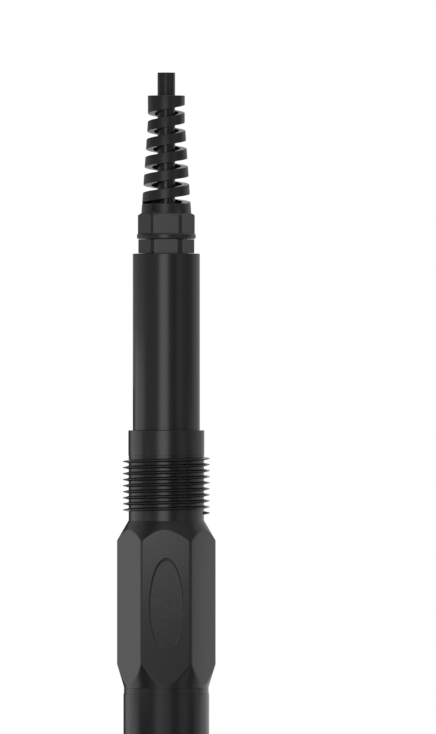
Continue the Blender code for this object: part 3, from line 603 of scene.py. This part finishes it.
def surface(name):
    """A procedural finish: patches of colour, a grain in gloss and relief, and any turned lines."""
    color, rough, spread, grain, depth = FINISHES[name]
    made = bpy.data.materials.new(name)
    made.use_nodes = True
    tree = made.node_tree
    shader = tree.nodes["Principled BSDF"]
    shader.inputs["Metallic"].default_value = METAL.get(name, 0.0)
    shader.inputs["IOR"].default_value = REFRACTION
    where = add_node(tree, "ShaderNodeTexCoord").outputs["Object"]
    patches = add_node(tree, "ShaderNodeTexNoise", Scale=90.0, Detail=4.0, Roughness=0.6)
    link(tree, where, patches.inputs["Vector"])
    mix = add_node(tree, "ShaderNodeMix", data_type="RGBA")
    mix.inputs["A"].default_value = (*[c * (1 - TINT) for c in color], 1.0)
    mix.inputs["B"].default_value = (*[min(1.0, c * (1 + TINT)) for c in color], 1.0)
    link(tree, patches.outputs["Fac"], mix.inputs["Factor"])
    link(tree, mix.outputs["Result"], shader.inputs["Base Color"])
    fine = add_node(tree, "ShaderNodeTexNoise", Scale=grain, Detail=3.0, Roughness=0.55)
    link(tree, where, fine.inputs["Vector"])
    gloss = add_node(tree, "ShaderNodeMapRange")
    gloss.inputs["From Min"].default_value = GRAIN_LOW
    gloss.inputs["From Max"].default_value = GRAIN_HIGH
    gloss.inputs["To Min"].default_value = rough - spread
    gloss.inputs["To Max"].default_value = rough + spread
    link(tree, fine.outputs["Fac"], gloss.inputs["Value"])
    link(tree, gloss.outputs["Result"], shader.inputs["Roughness"])
    bump = add_node(tree, "ShaderNodeBump", Strength=0.6, Distance=depth * MM)
    link(tree, fine.outputs["Fac"], bump.inputs["Height"])
    if name in TURNED_LINES:
        lines, line_depth = TURNED_LINES[name]
        wave = add_node(tree, "ShaderNodeTexWave", Scale=lines, Distortion=0.6, Detail=2.0)
        wave.bands_direction = "Z"
        link(tree, where, wave.inputs["Vector"])
        marks = add_node(tree, "ShaderNodeBump", Strength=0.5, Distance=line_depth * MM)
        link(tree, wave.outputs["Fac"], marks.inputs["Height"])
        link(tree, bump.outputs["Normal"], marks.inputs["Normal"])
        bump = marks
    link(tree, bump.outputs["Normal"], shader.inputs["Normal"])
    return made


def add_tracks(made):
    """Lay the lighter lines of the tracks under a board's green mask."""
    tree = made.node_tree
    shader = tree.nodes["Principled BSDF"]
    mask = shader.inputs["Base Color"].links[0].from_socket
    where = tree.nodes["Texture Coordinate"].outputs["Object"]
    tracks = add_node(tree, "ShaderNodeTexBrick", Scale=TRACK_SCALE)
    tracks.inputs["Mortar Size"].default_value = TRACK_WIDTH
    tracks.inputs["Color1"].default_value = grey(0.0)
    tracks.inputs["Color2"].default_value = grey(0.0)
    tracks.inputs["Mortar"].default_value = grey(1.0)
    turn = add_node(tree, "ShaderNodeMapping")
    turn.inputs["Rotation"].default_value = (math.pi / 2, 0.0, 0.0)
    link(tree, where, turn.inputs["Vector"])
    link(tree, turn.outputs["Vector"], tracks.inputs["Vector"])
    mix = add_node(tree, "ShaderNodeMix", data_type="RGBA")
    mix.inputs["B"].default_value = TRACK_COLOR
    link(tree, tracks.outputs["Color"], mix.inputs["Factor"])
    link(tree, mask, mix.inputs["A"])
    link(tree, mix.outputs["Result"], shader.inputs["Base Color"])


def make_materials():
    """The finishes by the record's slots."""
    made = {name: surface(name) for name in FINISHES}
    add_tracks(made["board"])
    return made


def paint_packed_nodes(packed):
    """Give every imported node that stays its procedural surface."""
    slots = {item["node"]: item["material_slot"] for item in packed["record"]["subparts"]}
    for name, obj in packed["nodes"].items():
        obj.data.materials.clear()
        obj.data.materials.append(MATERIALS[slots[name]])


def make_cable():
    """The cable's sheath with its square cut end."""
    outline = [
        (CABLE_RADIUS, CABLE_TOP, CABLE_EDGE),
        (CABLE_RADIUS, CABLE_FOOT, CABLE_EDGE),
        (CABLE_BORE, CABLE_FOOT),
        (CABLE_BORE, CABLE_TOP, CABLE_BORE_EDGE),
    ]
    place(turned("cable_sheath", outline, "black_cable", even(SMALL)), "root", "cable_jacket")


def even_levels(start, end, count):
    """Levels between two others, evenly spaced."""
    return [start + (end - start) * i / count for i in range(count + 1)]


def recess_depth(x, z):
    """Depth of the recess's dished floor, for a point measured from its middle."""
    rise = max(0.0, min(1.0, z / RECESS_HEIGHT + 0.5))
    across = max(-1.0, min(1.0, x * 2 / RECESS_WIDTH))
    tilt = RECESS_RIM * (rise - RECESS_FADE)
    dish = RECESS_DISH * rise ** RECESS_LEAN * (1 - rise)
    return tilt + dish + RECESS_CROWN * rise * (1 - across ** 2)


def recess_cutter():
    """A hidden oval with a dished floor and an eased rim, set in the front flat."""
    rows = [(spare, 0.0, lift) for spare, lift in RECESS_FLARE]
    for i in range(RECESS_RIM_ROWS + 1):
        share = i / RECESS_RIM_ROWS
        rows.append((1 - 2 * share, (1 - math.cos(math.pi * share)) / 2, 0.0))
    points = []
    for spare, share, lift in rows:
        for angle in even(RECESS_STEPS):
            lip = RECESS_LIP * (1 - RECESS_LIP_LESS * max(0.0, math.sin(angle)) ** 2)
            x = (RECESS_WIDTH / 2 + spare * lip) * math.cos(angle)
            z = (RECESS_HEIGHT / 2 + spare * lip) * math.sin(angle)
            points.append((x, share * recess_depth(x, z) + lift - GRIP_APOTHEM, z - RECESS_DROP))
    for share in RECESS_FLOOR_ROWS:
        for angle in even(RECESS_STEPS):
            x = RECESS_WIDTH / 2 * share * math.cos(angle)
            z = RECESS_HEIGHT / 2 * share * math.sin(angle)
            points.append((x, recess_depth(x, z) - GRIP_APOTHEM, z - RECESS_DROP))
    faces = [tuple(range(RECESS_STEPS))]
    last = len(points) - RECESS_STEPS
    for ring in range(0, last, RECESS_STEPS):
        for j in range(RECESS_STEPS):
            k = (j + 1) % RECESS_STEPS
            inner = ring + RECESS_STEPS
            faces.append((ring + j, inner + j, inner + k, ring + k))
    for j in range(RECESS_STEPS):
        faces.append((last + j, len(points), last + (j + 1) % RECESS_STEPS))
    points.append((0.0, recess_depth(0.0, 0.0) - GRIP_APOTHEM, -RECESS_DROP))
    return mesh_object("recess_cutter", points, faces, "black_body")


def mirrored(z, half):
    """Outline of a ridge from the (radius, distance) points of its lower half, foot first."""
    return [(r, z - reach) for r, reach in half] + [(r, z + reach) for r, reach in reversed(half)]


def ridge_section(z, share):
    """The thread's ridge: straight flanks and a narrow rounded crest, fading at its upper end."""
    last = 1 - THREAD_FADE / THREAD_TURNS
    fade = max(0.0, (share - last) / (1 - last))
    crest = THREAD_CORE + (THREAD_CREST - THREAD_CORE) * (1 - fade) - THREAD_SINK * fade
    return mirrored(z, [
        (THREAD_CORE - THREAD_ROOT, THREAD_BASE / 2 + THREAD_ROOT_SPREAD),
        (THREAD_CORE + THREAD_LIFT * (1 - fade), THREAD_BASE / 2),
        (crest - THREAD_CREST_DROP, THREAD_TIP / 2 + THREAD_CREST_SPREAD),
        (crest, THREAD_TIP / 4),
    ])


def stub_section(z, share):
    """The gland's fine thread, fading at both ends."""
    fade = min(1.0, share * STUB_FADE, (1 - share) * STUB_FADE)
    crest = STUB_ROOT + (STUB_CREST - STUB_ROOT) * fade
    return mirrored(z, [(STUB_ROOT - STUB_SINK, STUB_BASE / 2), (crest, STUB_TIP / 2)])


def make_grip():
    """Collar, thread, neck, hex grip with its oval recess, and the spigot in the barrel."""
    reach = GRIP_APOTHEM / math.cos(math.pi / 6) + GRIP_REACH
    top_end = (THREAD_CORE - reach) / GRIP_TOP_SLOPE
    foot_start = GRIP_FOOT + (reach - SHOULDER_RADIUS) / GRIP_FOOT_SLOPE
    top_levels = even_levels(0.0, top_end, GRIP_TOP_ROWS)
    foot_levels = even_levels(foot_start, GRIP_FOOT, GRIP_FOOT_ROWS)
    groove_top = GRIP_FOOT - FOOT_GROOVE_DROP
    groove_foot = groove_top - FOOT_GROOVE_WIDTH
    outline = [
        (COLLAR_RADIUS, COLLAR_TOP, COLLAR_EDGE),
        (COLLAR_RADIUS, COLLAR_FOOT, COLLAR_FOOT_EDGE),
        (THREAD_CORE, COLLAR_FOOT),
        *[(THREAD_CORE - z * GRIP_TOP_SLOPE, z) for z in top_levels],
        *[(SHOULDER_RADIUS + (z - GRIP_FOOT) * GRIP_FOOT_SLOPE, z) for z in foot_levels],
        (SHOULDER_RADIUS, groove_top),
        (SHOULDER_RADIUS - FOOT_GROOVE, groove_top - FOOT_GROOVE_SLANT),
        (SHOULDER_RADIUS - FOOT_GROOVE, groove_foot + FOOT_GROOVE_SLANT),
        (SHOULDER_RADIUS, groove_foot),
        (SHOULDER_RADIUS, BARREL_TOP + SUPPORT),
        (SHOULDER_RADIUS, BARREL_TOP, GRIP_FOOT_EDGE),
        (BARREL_BORE - SPIGOT_GAP, BARREL_TOP),
        (BARREL_BORE - SPIGOT_GAP, GRIP_SPIGOT_FOOT, SPIGOT_EDGE),
        (GRIP_BORE, GRIP_SPIGOT_FOOT),
        (GRIP_BORE, SOCKET_FLOOR),
        (TUBE_SPIGOT_RADIUS + SPIGOT_GAP, SOCKET_FLOOR),
        (TUBE_SPIGOT_RADIUS + SPIGOT_GAP, COLLAR_TOP),
    ]
    rule = hex_part(GRIP_APOTHEM, GRIP_CORNER_EASE, GRIP_CUT_FOOT, GRIP_CUT_TOP, GRIP_ARC_EASE)
    grip = turned("hex_grip", outline, "black_body", hex_angles(), rule)
    cutter = recess_cutter()
    cut = grip.modifiers.new("recess", "BOOLEAN")
    cut.operation = "DIFFERENCE"
    cut.solver = "EXACT"
    cut.object = cutter
    applied(grip)
    bpy.data.objects.remove(cutter, do_unlink=True)
    ridge = helix(
        "grip_ridge", ridge_section, THREAD_START, THREAD_TURNS, THREAD_PITCH, THREAD_STEPS, "black_body",
    )
    joined(grip, ridge)
    place(grip, "root", "grip_body")


def make_tube_and_barrel():
    """The plain tube above the collar and the lower barrel, with their eased edges."""
    outline = [
        (TUBE_RADIUS, TUBE_TOP, TUBE_EDGE),
        (TUBE_RADIUS, COLLAR_TOP + TUBE_LINE, TUBE_FOOT_EDGE),
        (TUBE_SPIGOT_RADIUS, COLLAR_TOP + TUBE_LINE),
        (TUBE_SPIGOT_RADIUS, TUBE_SPIGOT_FOOT, SPIGOT_EDGE),
        (TUBE_BORE, TUBE_SPIGOT_FOOT),
        (TUBE_BORE, TUBE_ROOM_TOP),
        (TAIL_RADIUS + TAIL_GAP, TUBE_ROOM_TOP),
        (TAIL_RADIUS + TAIL_GAP, TUBE_TOP),
    ]
    place(turned("upper_tube", outline, "black_body"), "root", "rear_tube")
    outline = [
        (BARREL_RADIUS, BARREL_TOP - BARREL_LINE, BARREL_TOP_EDGE),
        (BARREL_RADIUS, BARREL_FOOT, BARREL_EDGE),
        (BARREL_BORE, BARREL_FOOT),
        (BARREL_BORE, RIB_FOOT),
        (BARREL_BORE - RIB_DEPTH, RIB_FOOT),
        (BARREL_BORE - RIB_DEPTH, RIB_TOP),
        (BARREL_BORE, RIB_TOP),
        (BARREL_BORE, BARREL_TOP - BARREL_LINE),
    ]
    place(turned("lower_barrel", outline, "black_body"), "root", "sensor_barrel")


def make_gland_body():
    """Gland body: its hex, the threaded stub under the nut and the tail in the tube."""
    outline = [
        (STUB_ROOT, GLAND_STUB_TOP, STUB_EDGE),
        (STUB_ROOT, GLAND_HEX_TOP),
        (GLAND_CORNER, GLAND_HEX_TOP, GLAND_TOP_EDGE),
        (GLAND_CORNER, GLAND_HEX_TOP - GLAND_HEX_ROW),
        (GLAND_CORNER, GLAND_HEX_FOOT + GLAND_HEX_ROW),
        (GLAND_CORNER, GLAND_HEX_FOOT, GLAND_FOOT_EDGE),
        (TAIL_RADIUS, GLAND_HEX_FOOT),
        (TAIL_RADIUS, GLAND_TAIL_FOOT, SPIGOT_EDGE),
        (CABLE_PASSAGE, GLAND_TAIL_FOOT),
        (CABLE_PASSAGE, SEAL_FOOT - SEAL_BORE + CABLE_PASSAGE),
        (SEAL_BORE, SEAL_FOOT),
        (SEAL_BORE, GLAND_STUB_TOP),
    ]
    foot = GLAND_HEX_FOOT - HAIR
    top = GLAND_HEX_TOP + HAIR
    rule = hex_part(GLAND_APOTHEM, GLAND_CORNER_EASE, foot, top, GLAND_ARC_EASE)
    gland = turned("gland_base", outline, "black_gland", hex_angles(), rule)
    start = GLAND_HEX_TOP + STUB_RISE
    joined(gland, helix("gland_ridge", stub_section, start, STUB_TURNS, STUB_PITCH, SMALL, "black_gland"))
    place(gland, "root", "gland_body")


def spiral_radius(z):
    """Outer radius of the bend guard: straight at the top, then a slight cone to the collar."""
    cone_top = SPIRAL_TOP - SPIRAL_STRAIGHT
    share = max(0.0, (cone_top - z) / (cone_top - NUT_CHAMFER_TOP))
    return SPIRAL_RADIUS + (NUT_COLLAR - SPIRAL_RADIUS) * share


def spiral_bore(z):
    """Inner radius of the bend guard, wider towards the nut."""
    share = (SPIRAL_TOP - z) / (SPIRAL_TOP - NUT_COLLAR_TOP)
    return SPIRAL_BORE + (SPIRAL_BORE_FOOT - SPIRAL_BORE) * min(1.0, share)


def spiral_section(z, _share):
    """The flat band that winds round the cable, with eased edges, kept inside collar and ring."""
    low = max(z - SPIRAL_BAND / 2, NUT_SHOULDER + BAND_INSET)
    high = min(z + SPIRAL_BAND / 2, SPIRAL_TOP - BAND_INSET)
    high = max(high, low + BAND_LEAST)
    inner = spiral_bore(z) + BAND_CLEAR
    outer = spiral_radius(z) - BAND_CLEAR
    lean = (spiral_radius(z - 1) - spiral_radius(z + 1)) / 2
    outline = [
        (inner, low, BAND_BORE_EDGE),
        (outer + lean * (z - low), low, BAND_EDGE),
        (outer - lean * (high - z), high, BAND_EDGE),
        (inner, high, BAND_BORE_EDGE),
    ]
    return eased(outline, steps=3)


def nut_shape(angle, radius, z):
    """The nut's hex between skirt and collar, with its corners turned to one diameter."""
    corner = soft_min(hex_radius(angle, NUT_APOTHEM, NUT_CORNER_EASE), NUT_CORNER, NUT_TURNED_EASE)
    if SKIRT_TOP < z < NUT_CHAMFER_TOP - HAIR:
        return soft_min(radius, corner, NUT_ARC_EASE)
    if SKIRT_TOP - SKIRT_BAND < z <= SKIRT_TOP and radius > NUT_BORE:
        return max(radius, corner + SKIRT_SPARE)
    return radius


def make_spiral_nut():
    """Gland nut, its skirt and collar, and the spiral bend guard with its top ring, all one piece."""
    chamfer = []
    for i in range(NUT_CHAMFER_ROWS + 1):
        share = i / NUT_CHAMFER_ROWS
        radius = NUT_COLLAR + NUT_STEP + (NUT_BLANK - NUT_COLLAR - NUT_STEP) * share
        chamfer.append((radius, NUT_CHAMFER_TOP - NUT_STEP_DROP - NUT_CHAMFER_DROP * share))
    outline = [
        (spiral_radius(NUT_COLLAR_TOP), NUT_COLLAR_TOP, NUT_EDGE),
        (NUT_COLLAR, NUT_CHAMFER_TOP),
        *chamfer,
        (NUT_BLANK, NUT_HEX_TOP - NUT_TOP_ROW),
        (NUT_BLANK, SKIRT_TOP + NUT_FOOT_ROW),
        (NUT_BLANK, SKIRT_TOP + HAIR),
        (NUT_APOTHEM, SKIRT_TOP),
        (SKIRT_RADIUS, SKIRT_TOP, SKIRT_EDGE),
        (SKIRT_RADIUS, NUT_FOOT, SKIRT_EDGE),
        (NUT_BORE, NUT_FOOT, NUT_BORE_EDGE),
        (NUT_BORE, NUT_SHOULDER),
        (SPIRAL_BORE_FOOT, NUT_SHOULDER),
        (SPIRAL_BORE_FOOT, NUT_COLLAR_TOP),
    ]
    nut = turned("bend_guard_nut", outline, "black_gland", hex_angles(), nut_shape)
    start = NUT_COLLAR_TOP - SPIRAL_START_DROP
    turns = (SPIRAL_TOP - SPIRAL_BAND / 2 + SPIRAL_END_RISE - start) / SPIRAL_PITCH
    band = helix(
        "nut_band", spiral_section, start, turns, SPIRAL_PITCH, SPIRAL_STEPS, "black_gland", -math.pi / 2,
    )
    ring_foot = SPIRAL_TOP - SPIRAL_RING
    outline = [
        (SPIRAL_RADIUS, SPIRAL_TOP, RING_EDGE),
        (SPIRAL_RADIUS, ring_foot, NUT_EDGE),
        (spiral_bore(ring_foot), ring_foot, BAND_BORE_EDGE),
        (SPIRAL_BORE, SPIRAL_TOP, RING_BORE_EDGE),
    ]
    joined(nut, band, turned("nut_top_ring", outline, "black_gland"))
    place(nut, "gland_nut", "gland_spiral_nut")


def slot_loop():
    """Points and outward normals round one slot of the guard, flat, as (along the turn, z)."""
    half = GUARD_SLOT / 2
    top = GUARD_SLOT_TOP - half
    foot = GUARD_SLOT_FOOT + half
    quarter = SLOT_STEPS // 4
    loop = []
    for first, near, far, side in ((0.0, top, foot, -1.0), (math.pi, foot, top, 1.0)):
        for i in range(quarter):
            angle = first + math.pi * i / quarter
            normal = (math.cos(angle), math.sin(angle))
            loop.append(((half * normal[0], near + half * normal[1]), normal))
        for i in range(quarter):
            loop.append(((half * side, near + (far - near) * i / quarter), (side, 0.0)))
    return loop


def frame_point(share, width, top, foot):
    """Point on the flat rectangle round a slot that goes with a point of the slot's loop."""
    side = share * 4
    if side < 1:
        return (width - 2 * width * side, top)
    if side < 2:
        return (-width, top + (foot - top) * (side - 1))
    if side < 3:
        return (-width + 2 * width * (side - 2), foot)
    return (width, foot + (top - foot) * (side - 3))


def guard_panel(name, turn):
    """A quarter of the guard's wall with its slot, bent round the axis from a flat pattern."""
    width = math.pi / GUARD_PANELS * BARREL_RADIUS
    top = BARREL_FOOT - GUARD_NECK
    foot = HEAD_FOOT + GUARD_NOSE
    wall = BARREL_RADIUS - GUARD_BORE
    arc = [math.pi / 2 * i / SLOT_EDGE_ROWS for i in range(SLOT_EDGE_ROWS + 1)]
    rings = [(share, SLOT_EDGE, 0.0) for share in WALL_ROWS]
    rings += [(1.0, SLOT_EDGE * (1 - math.sin(a)), SLOT_EDGE * (1 - math.cos(a))) for a in arc]
    rings += [(1.0, SLOT_EDGE * (1 - math.cos(a)), wall - SLOT_EDGE * (1 - math.sin(a))) for a in arc]
    rings += [(share, SLOT_EDGE, wall) for share in reversed(WALL_ROWS)]
    points = []
    for share, spare, depth in rings:
        for i, ((u, z), (nu, nz)) in enumerate(slot_loop()):
            near = (u + nu * spare, z + nz * spare)
            far = frame_point(i / SLOT_STEPS, width, top, foot)
            along = far[0] + (near[0] - far[0]) * share
            level = far[1] + (near[1] - far[1]) * share
            angle = turn + along / BARREL_RADIUS
            radius = BARREL_RADIUS - depth
            points.append((radius * math.cos(angle), radius * math.sin(angle), level))
    faces = []
    for ring in range(0, len(points) - SLOT_STEPS, SLOT_STEPS):
        for j in range(SLOT_STEPS):
            k = (j + 1) % SLOT_STEPS
            below = ring + SLOT_STEPS
            faces.append((ring + j, ring + k, below + k, below + j))
    return mesh_object(name, points, faces, "black_body")


def make_guard():
    """Guard: spigot, slotted wall and rounded nose with its open mouth."""
    spigot_top = CARRIER_FOOT - GUARD_LINE
    shoulder = BARREL_FOOT - GUARD_LINE
    neck_foot = BARREL_FOOT - GUARD_NECK
    outline = [
        (GUARD_SPIGOT, spigot_top, GUARD_SPIGOT_EDGE),
        (GUARD_SPIGOT, shoulder),
        (BARREL_RADIUS, shoulder, BARREL_EDGE),
        (BARREL_RADIUS, neck_foot + SUPPORT),
        (BARREL_RADIUS, neck_foot),
        (GUARD_BORE, neck_foot),
        (GUARD_BORE, shoulder - GUARD_BORE + GUARD_SPIGOT_BORE),
        (GUARD_SPIGOT_BORE, shoulder),
        (GUARD_SPIGOT_BORE, spigot_top),
    ]
    guard = turned("slotted_guard", outline, "black_body")
    nose_top = HEAD_FOOT + GUARD_NOSE
    lip_top = HEAD_FOOT + GUARD_LIP
    outline = [
        (BARREL_RADIUS, nose_top),
        (BARREL_RADIUS, nose_top - SUPPORT),
        (BARREL_RADIUS, HEAD_FOOT, GUARD_NOSE_EDGE),
        (GUARD_MOUTH, HEAD_FOOT, GUARD_MOUTH_EDGE),
        (GUARD_MOUTH, lip_top, GUARD_LIP_EDGE),
        (GUARD_BORE, lip_top + GUARD_BORE - GUARD_MOUTH),
        (GUARD_BORE, nose_top),
    ]
    nose = turned("guard_nose", outline, "black_body")
    panels = [guard_panel(f"guard_panel_{i}", TURN * i / GUARD_PANELS) for i in range(GUARD_PANELS)]
    joined(guard, nose, *panels)
    place(guard, "root", "sensor_guard")


def electrode_outline(radius, foot, seat, depth):
    """Outline of an electrode's body, with the seat of its tip and the channel of its wire."""
    return [
        (radius, PROBE_TOP),
        (radius, foot, PROBE_EDGE),
        (seat, foot, SEAT_EDGE),
        (seat, foot + depth),
        (WIRE_CHANNEL, foot + depth),
        (WIRE_CHANNEL, PROBE_TOP),
    ]


def plug_outline(radius, top, foot, edge):
    """Outline of a solid round plug with a rounded foot."""
    return [(0.0, top), (radius, top), (radius, foot, edge), (0.0, foot)]


def make_probes():
    """Lead electrode, its crystal, reference electrode, its junction and the temperature sheath."""
    lead = electrode_outline(LEAD_RADIUS, LEAD_FOOT, LEAD_SEAT, LEAD_SEAT_DEPTH)
    crystal_foot = LEAD_FOOT + CRYSTAL_INSET
    crystal = plug_outline(CRYSTAL_RADIUS, LEAD_FOOT + CRYSTAL_TOP, crystal_foot, CRYSTAL_EDGE)
    reference = electrode_outline(REFERENCE_RADIUS, REFERENCE_FOOT, REFERENCE_SEAT, REFERENCE_SEAT_DEPTH)
    junction_top = REFERENCE_FOOT + JUNCTION_LENGTH
    junction = plug_outline(JUNCTION_RADIUS, junction_top, REFERENCE_FOOT, JUNCTION_EDGE)
    bore = TEMPERATURE_RADIUS - SHEATH_WALL
    sheath = [
        (TEMPERATURE_RADIUS, PROBE_TOP),
        (TEMPERATURE_RADIUS, TEMPERATURE_FOOT, SHEATH_EDGE),
        (0.0, TEMPERATURE_FOOT),
        (0.0, TEMPERATURE_FOOT + SHEATH_TIP),
        (bore, TEMPERATURE_FOOT + SHEATH_TIP),
        (bore, PROBE_TOP),
    ]
    parts = (
        ("lead_probe", lead, "probe_resin", (LEAD_X, 0.0), "lead_electrode"),
        ("crystal_disc", crystal, "crystal", (LEAD_X, 0.0), "lead_membrane"),
        ("reference_probe", reference, "probe_resin", (REFERENCE_X, 0.0), "reference_electrode"),
        ("junction_plug", junction, "junction", (REFERENCE_X, 0.0), "reference_junction"),
        ("metal_sheath", sheath, "steel", (0.0, TEMPERATURE_Y), "temperature_probe"),
    )
    for name, outline, slot, centre, node in parts:
        place(turned(name, outline, slot, even(SMALL), at=centre), "root", node)


def white_rays(tree):
    """One for the rays that should find a white background: the camera's, gloss and glass."""
    path = add_node(tree, "ShaderNodeLightPath")
    seen = path.outputs["Is Camera Ray"]
    for name in ("Is Glossy Ray", "Is Transmission Ray"):
        either = add_node(tree, "ShaderNodeMath", operation="MAXIMUM")
        link(tree, seen, either.inputs[0])
        link(tree, path.outputs[name], either.inputs[1])
        seen = either.outputs["Value"]
    return seen


def make_floor():
    """A plain pale floor under the sensor's lower end, which turns into the white background."""
    level = HEAD_FOOT * MM
    mesh = bpy.data.meshes.new("floor")
    corners = [(-1, -1), (1, -1), (1, 1), (-1, 1)]
    mesh.from_pydata([(x * FLOOR_HALF, y * FLOOR_HALF, level) for x, y in corners], [], [(0, 1, 2, 3)])
    obj = add_object("floor", mesh)
    made = bpy.data.materials.new("pale_floor")
    made.use_nodes = True
    tree = made.node_tree
    shader = tree.nodes["Principled BSDF"]
    shader.inputs["Base Color"].default_value = grey(FLOOR_GREY)
    shader.inputs["Roughness"].default_value = FLOOR_ROUGH
    shader.inputs["Specular IOR Level"].default_value = FLOOR_GLOSS
    where = add_node(tree, "ShaderNodeTexCoord").outputs["Object"]
    reach = add_node(tree, "ShaderNodeVectorMath", operation="LENGTH")
    link(tree, where, reach.inputs[0])
    fade = add_node(tree, "ShaderNodeMapRange", interpolation_type="SMOOTHSTEP")
    fade.inputs["From Min"].default_value = FLOOR_FADE_START
    fade.inputs["From Max"].default_value = FLOOR_FADE_END
    link(tree, reach.outputs["Value"], fade.inputs["Value"])
    share = add_node(tree, "ShaderNodeMath", operation="MULTIPLY")
    link(tree, fade.outputs["Result"], share.inputs[0])
    link(tree, white_rays(tree), share.inputs[1])
    white = add_node(tree, "ShaderNodeEmission")
    mix = add_node(tree, "ShaderNodeMixShader")
    link(tree, share.outputs["Value"], mix.inputs["Fac"])
    link(tree, shader.outputs["BSDF"], mix.inputs[1])
    link(tree, white.outputs["Emission"], mix.inputs[2])
    link(tree, mix.outputs["Shader"], tree.nodes["Material Output"].inputs["Surface"])
    mesh.materials.append(made)


def make_world():
    """White to the camera, the gloss and the glass, and a soft grey to everything else."""
    world = bpy.data.worlds.new("studio")
    bpy.context.scene.world = world
    world.use_nodes = True
    tree = world.node_tree
    back = tree.nodes["Background"]
    white = add_node(tree, "ShaderNodeMix", data_type="RGBA")
    white.inputs["A"].default_value = grey(WORLD_GREY)
    white.inputs["B"].default_value = grey(1.0)
    link(tree, white_rays(tree), white.inputs["Factor"])
    link(tree, white.outputs["Result"], back.inputs["Color"])


def make_painted_reflections():
    """Painted reflections: grey glowing panels round the sensor, open at the back and top, seen by gloss
    alone.
    """
    reflection_sheets = []
    for first, last, seam, low_glow, high_glow, hood_glow in PAINTED_REFLECTION_PANELS.values():
        reflection_sheets.append((REFLECTION_RADIUS, first, last, REFLECTION_FOOT, seam, low_glow))
        reflection_sheets.append((REFLECTION_RADIUS, first, last, seam, REFLECTION_HOOD, high_glow))
        reflection_sheets.append((REFLECTION_RADIUS, first, last, REFLECTION_HOOD, REFLECTION_TOP, hood_glow))
    reflection_sheets += PAINTED_REFLECTION_STRIPS.values()
    points = []
    faces = []
    glows = []
    for radius, first, last, low, high, glow in reflection_sheets:
        steps = round((last - first) / REFLECTION_FACET)
        for i in range(steps):
            sides = [math.radians(first + (last - first) * k / steps) for k in (i, i + 1)]
            corners = ((sides[0], low), (sides[1], low), (sides[1], high), (sides[0], high))
            faces.append(tuple(range(len(points), len(points) + 4)))
            points += [(radius * math.sin(a), -radius * math.cos(a), z) for a, z in corners]
            glows.append(glow)
    mesh = bpy.data.meshes.new("painted_reflections")
    mesh.from_pydata([(x * MM, y * MM, z * MM) for x, y, z in points], [], faces)
    mesh.attributes.new("glow", "FLOAT", "FACE").data.foreach_set("value", glows)
    obj = add_object("painted_reflections", mesh)
    made = bpy.data.materials.new("painted_reflection_glow")
    made.use_nodes = True
    tree = made.node_tree
    tree.nodes.remove(tree.nodes["Principled BSDF"])
    # The glow is painted reflection, with dim panels as painted shade: an emitter that is no lamp, seen by
    # gloss alone
    reflection_glow = add_node(tree, "ShaderNodeEmission")
    level = add_node(tree, "ShaderNodeAttribute", attribute_name="glow")
    link(tree, level.outputs["Fac"], reflection_glow.inputs["Strength"])
    link(tree, reflection_glow.outputs["Emission"], tree.nodes["Material Output"].inputs["Surface"])
    mesh.materials.append(made)
    obj.visible_camera = False
    obj.visible_diffuse = False
    obj.visible_transmission = False
    obj.visible_shadow = False
    obj.visible_volume_scatter = False


def panel_light(name, width, height, radiance):
    """A soft panel that the camera doesn't see."""
    data = bpy.data.lights.new(name, "AREA")
    data.shape = "RECTANGLE"
    data.size = width
    data.size_y = height
    data.energy = radiance * math.pi * width * height
    obj = add_object(name, data)
    obj.visible_camera = False
    return obj


def make_lights():
    """A soft upright panel at the left of the camera, and a broad one overhead."""
    key = panel_light("key_panel", KEY_WIDTH, KEY_HEIGHT, KEY_RADIANCE)
    key.location = (KEY_DISTANCE * math.sin(KEY_ANGLE), -KEY_DISTANCE * math.cos(KEY_ANGLE), KEY_LEVEL)
    key.rotation_euler = (math.pi / 2, 0.0, KEY_ANGLE)
    top = panel_light("top_panel", TOP_SIDE, TOP_SIDE, TOP_RADIANCE)
    top.location = (0.0, TOP_BACK, TOP_LEVEL)


def make_camera():
    """Level camera square to the front, far away behind a long lens."""
    data = bpy.data.cameras.new("camera")
    data.lens = LENS
    data.sensor_width = SENSOR
    data.sensor_fit = "AUTO"
    data.clip_end = FAR_CLIP
    obj = add_object("camera", data)
    obj.location = (VIEW_X, -FIELD * LENS / SENSOR, VIEW_Z)
    obj.rotation_euler = (math.pi / 2, 0.0, 0.0)
    bpy.context.scene.camera = obj


for start_object in list(bpy.data.objects):
    bpy.data.objects.remove(start_object, do_unlink=True)
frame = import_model()
MATERIALS = make_materials()
paint_packed_nodes(frame)
make_cable()
make_spiral_nut()
make_gland_body()
make_tube_and_barrel()
make_grip()
make_guard()
make_probes()
make_floor()
make_world()
make_painted_reflections()
make_lights()
make_camera()
bpy.context.scene.view_settings.view_transform = "Standard"
